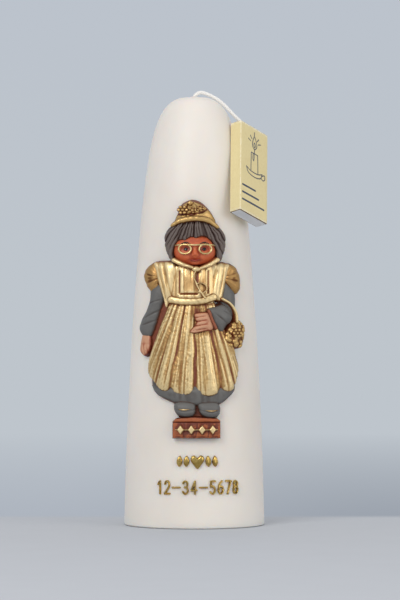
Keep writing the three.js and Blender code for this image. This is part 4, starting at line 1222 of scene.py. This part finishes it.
def make_ornament_row():
    heart = [(0, -3.9), (2.4, -1.4), (3.8, 1), (3.4, 3), (1.8, 3.8), (0, 2.4),
             (-1.8, 3.8), (-3.4, 3), (-3.8, 1), (-2.4, -1.4)]
    leaf = [(0, -2.8), (1.6, -1), (1.8, 1), (0.4, 3.6), (-1.2, 1.4), (-1.4, -0.8)]

    def depth(vein):
        def leaf_depth(across, up, edge):
            groove = 0.3 * np.exp(-(((across - vein) / 0.22) ** 2)) if vein is not None else 0
            return 0.7 + 0.5 * rounded(edge, 0.5) + 0.5 * swell(edge, 1.6) - groove
        return leaf_depth

    for i, (across, mirror) in enumerate([(-10.4, 1), (-6.4, 1), (6.4, -1), (10.4, -1)], 1):
        place = ORNAMENT_CENTRE + across
        loop = smooth_path([(place + x * mirror, ORNAMENT_MIDDLE + z) for x, z in leaf], 0.3, closed=True)
        patch(f"gold_leaf_{i}", [loop], depth(place + 0.1 * mirror), LETTER_GOLD,
              [f"ornament_leaf_{i}"], pitch=0.35, gain=0)
    loop = smooth_path([(ORNAMENT_CENTRE + x, ORNAMENT_MIDDLE + z) for x, z in heart], 0.3, closed=True)
    patch("gold_heart", [loop], depth(None), LETTER_GOLD, ["ornament_heart"],
          pitch=0.35, gain=0)


make_ornament_row()

# ---- the matchbox ----

JOINTS = {joint["name"]: joint for joint in frame["joints"]}
ACROSS = -np.array(JOINTS["matchbox_swing"]["axis"])
UPWARD = -np.array(JOINTS["tray_slide"]["axis"])
TOWARD = np.cross(UPWARD, ACROSS)
PIVOT = np.array(JOINTS["matchbox_swing"]["pos_m"]) / MM
BOX_WIDTH, BOX_THICKNESS, BOX_LENGTH, CARD_WALL = 26.0, 7.7, 56.8, 0.55


def in_box(points):
    points = np.asarray(points, float)
    return PIVOT + points[:, :1] * ACROSS + points[:, 1:2] * TOWARD + points[:, 2:3] * UPWARD


def rounded_rectangle(width, depth, radius, corner_steps=6, side_steps=12):
    """Points round a rectangle with rounded corners."""
    out = []
    for quarter, (sx, sy) in enumerate([(1, -1), (1, 1), (-1, 1), (-1, -1)]):
        centre = (sx * (width / 2 - radius), sy * (depth / 2 - radius))
        for k in range(corner_steps + 1):
            turn = math.radians(-90 + 90 * quarter + 90 * k / corner_steps)
            out.append((centre[0] + radius * math.cos(turn), centre[1] + radius * math.sin(turn)))
    closed = np.array(out)
    filled = []
    for i, start in enumerate(closed):
        end = closed[(i + 1) % len(closed)]
        steps = side_steps if np.linalg.norm(end - start) > 2 * radius else 1
        filled += [start + (end - start) * t for t in np.arange(steps) / steps]
    return np.array(filled)


def card_bow(x, z):
    """The wide faces stand out a little in their middle."""
    across = np.cos(np.clip(x / BOX_WIDTH, -0.5, 0.5) * math.pi)
    return 0.16 * across * np.cos((z / BOX_LENGTH + 0.5) * math.pi * 0.9)


def make_sleeve():
    outer = rounded_rectangle(BOX_WIDTH, BOX_THICKNESS, 0.55)
    inner = rounded_rectangle(BOX_WIDTH - 2 * CARD_WALL, BOX_THICKNESS - 2 * CARD_WALL, 0.25)
    inner = inner[:len(outer)]
    rows = np.linspace(0, -BOX_LENGTH, 34)
    points, hollow = [], []

    def add_ring(section, z, shrink, edge):
        for x, y in section:
            side = math.copysign(1, y) if abs(y) > BOX_THICKNESS / 2 - 1.2 else 0
            wobble = 0.05 * noise.noise(Vector((x * 0.3, y * 0.3, z * 0.2)))
            points.append((x * (1 - shrink / BOX_WIDTH), y * (1 - shrink / BOX_THICKNESS)
                           + side * (card_bow(x, z) + wobble), z))
            corner = (np.clip((abs(x) - BOX_WIDTH / 2 + 0.5) / 0.4, 0, 1)
                      * np.clip((abs(y) - BOX_THICKNESS / 2 + 0.5) / 0.4, 0, 1))
            hollow.append(max(edge, corner))

    levels = [(0.0, 0.25, 1.0), (-0.12, 0.06, 0.9)] + [(z, 0.0, 0.0) for z in rows[1:-1]]
    levels += [(-BOX_LENGTH + 0.12, 0.06, 0.9), (-BOX_LENGTH, 0.25, 1.0)]
    for z, shrink, edge in levels:
        add_ring(outer, z, shrink, edge)
    for z in rows[::-1]:
        add_ring(inner, z, 0.0, 0.6)
    sides, rings = len(outer), len(levels) + len(rows)
    raw = [r < 1 or r >= len(levels) - 2 for r in range(rings)]
    faces = [[r * sides + i, (r + 1) % rings * sides + i,
              (r + 1) % rings * sides + (i + 1) % sides, r * sides + (i + 1) % sides]
             for r in range(rings) for i in range(sides)]
    make_object("card_sleeve", in_box(points), faces, [CARD, RAW_CARD], "matchbox",
                ["matchbox_sleeve"], hollow, 45, [int(raw[r]) for r in range(rings) for i in range(sides)])


make_sleeve()


def on_card(across, up, depth):
    """Drawings on the wide face that looks away from the candle."""
    lift = BOX_THICKNESS / 2 + card_bow(across, up) + depth
    return in_box(np.stack([across, -lift, up + 0 * across], axis=-1))


def ink_depth(across, up, edge):
    return 0.03 + 0.03 * rounded(edge, 0.15)


def make_print():
    """A candle with its flame in a dish, drawn in line, over three plain bars."""
    line = 0.62
    flame = [(0, -5.2), (1.9, -9.2), (2.1, -12), (0.2, -14), (-1.9, -12.4), (-1.7, -9.6)]
    inner_flame = [(0.1, -9.4), (0.8, -11.4), (0.1, -12.9), (-0.7, -11.5)]
    strokes = [
        (flame + flame[:1], True), (inner_flame + inner_flame[:1], True),
        ([(0, -14.2), (0, -16.2)], True),
        ([(-3.1, -16.8), (3.1, -16.8)], False), ([(-3.1, -16.8), (-3.4, -28.6)], False),
        ([(3.1, -16.8), (3.4, -28.6)], False),
        ([(-1.4, -17.2), (-1.5, -20.4), (-0.9, -21.6), (-0.4, -20.2), (-0.3, -17.2)], True),
        ([(-7.6, -27.4), (-5.8, -30.6), (0, -31.8), (5.8, -30.6), (7.6, -27.4)], True),
        ([(-7.6, -27.4), (-3.4, -28.9), (3.4, -28.9), (7.6, -27.4)], True),
        ([(7.2, -28.6), (9.8, -27.4), (10.2, -29.6), (8.4, -31), (6.4, -30)], True),
    ]
    for turn in (-70, -40, 0, 40, 70):
        x, z = math.sin(math.radians(turn)), math.cos(math.radians(turn))
        start, end = (3.9, 6.2) if turn else (6.0, 7.8)
        strokes.append(([(x * start, -11 + z * start), (x * end, -11 + z * end)], False))
    loops = [stroke(points, line, smooth, 0.3) for points, smooth in strokes]
    patch("print_candle_mark", loops, ink_depth, INK, pitch=0.5, floor=-0.1, place=on_card,
          body="matchbox", gain=0, border=0.001)
    bars = [stroke([(-11.0, z), (right, z)], 1.15, False, 0.4)
            for z, right in ((-40.2, 1.0), (-44.8, 4.2), (-49.4, 9.4))]
    patch("print_plain_bars", bars, ink_depth, INK, pitch=0.5, floor=-0.1, place=on_card,
          body="matchbox", gain=0, border=0.001)


make_print()


class StickSection(RoundSection):
    """A square stick with softened edges."""

    def __call__(self, travelled, turn):
        square = (abs(math.cos(turn)) ** 7 + abs(math.sin(turn)) ** 7) ** (-1 / 7)
        return self.radius * square * (1 + 0.03 * noise.noise(Vector((travelled * 0.4, turn, 1.0))))


class HeadSection(RoundSection):
    """A dipped head, fullest a little past its middle."""

    length = 4.6

    def __call__(self, travelled, turn):
        share = min(max(travelled / self.length, 0.0), 1.0)
        fullness = math.sin(math.pi * share ** 0.9) ** 0.55 if 0 < share < 1 else 0.0
        uneven = 1 + 0.04 * noise.noise(Vector((travelled, 3 * turn, 4.0)))
        return self.radius * (fullness * 0.97 + 0.03) * uneven


def make_matches():
    depth_in_tray, pitch = 0.7, 4.3
    head_middle, stick_length = -53.2, 48.0
    for i in range(5):
        across = (i - 2) * pitch
        lean = 0.12 * noise.noise(Vector((i * 1.7, 0.4, 0.2)))
        heights = np.linspace(head_middle + 0.6, head_middle + stick_length, 24)
        leaning = across + lean * (heights - head_middle) / stick_length
        line = np.stack([leaning, 0 * heights + depth_in_tray, heights], axis=1)
        points, faces = swept_tube(in_box(line), StickSection(0.98, 24))
        make_object(f"match_stick_{i + 1}", points, faces, [MATCH_WOOD], "tray",
                    [f"match_{i + 1}"], sharp=40)
        heights = np.linspace(head_middle - 2.3, head_middle + 2.3, 22)
        line = np.stack([0 * heights + across, 0 * heights + depth_in_tray, heights], axis=1)
        points, faces = swept_tube(in_box(line), HeadSection(1.46, 20))
        make_object(f"match_head_{i + 1}", points, faces, [MATCH_HEAD], "tray", sharp=60)


make_matches()

# ---- pieces that keep their CAD shape ----

KEPT = {"wick_core": COTTON, "matchbox_striker_strip": STRIKER, "matchbox_tray": WHITE_CARD}
for kept_name, kept_material in KEPT.items():
    for slot_index in range(len(frame["nodes"][kept_name].data.materials)):
        frame["nodes"][kept_name].data.materials[slot_index] = kept_material
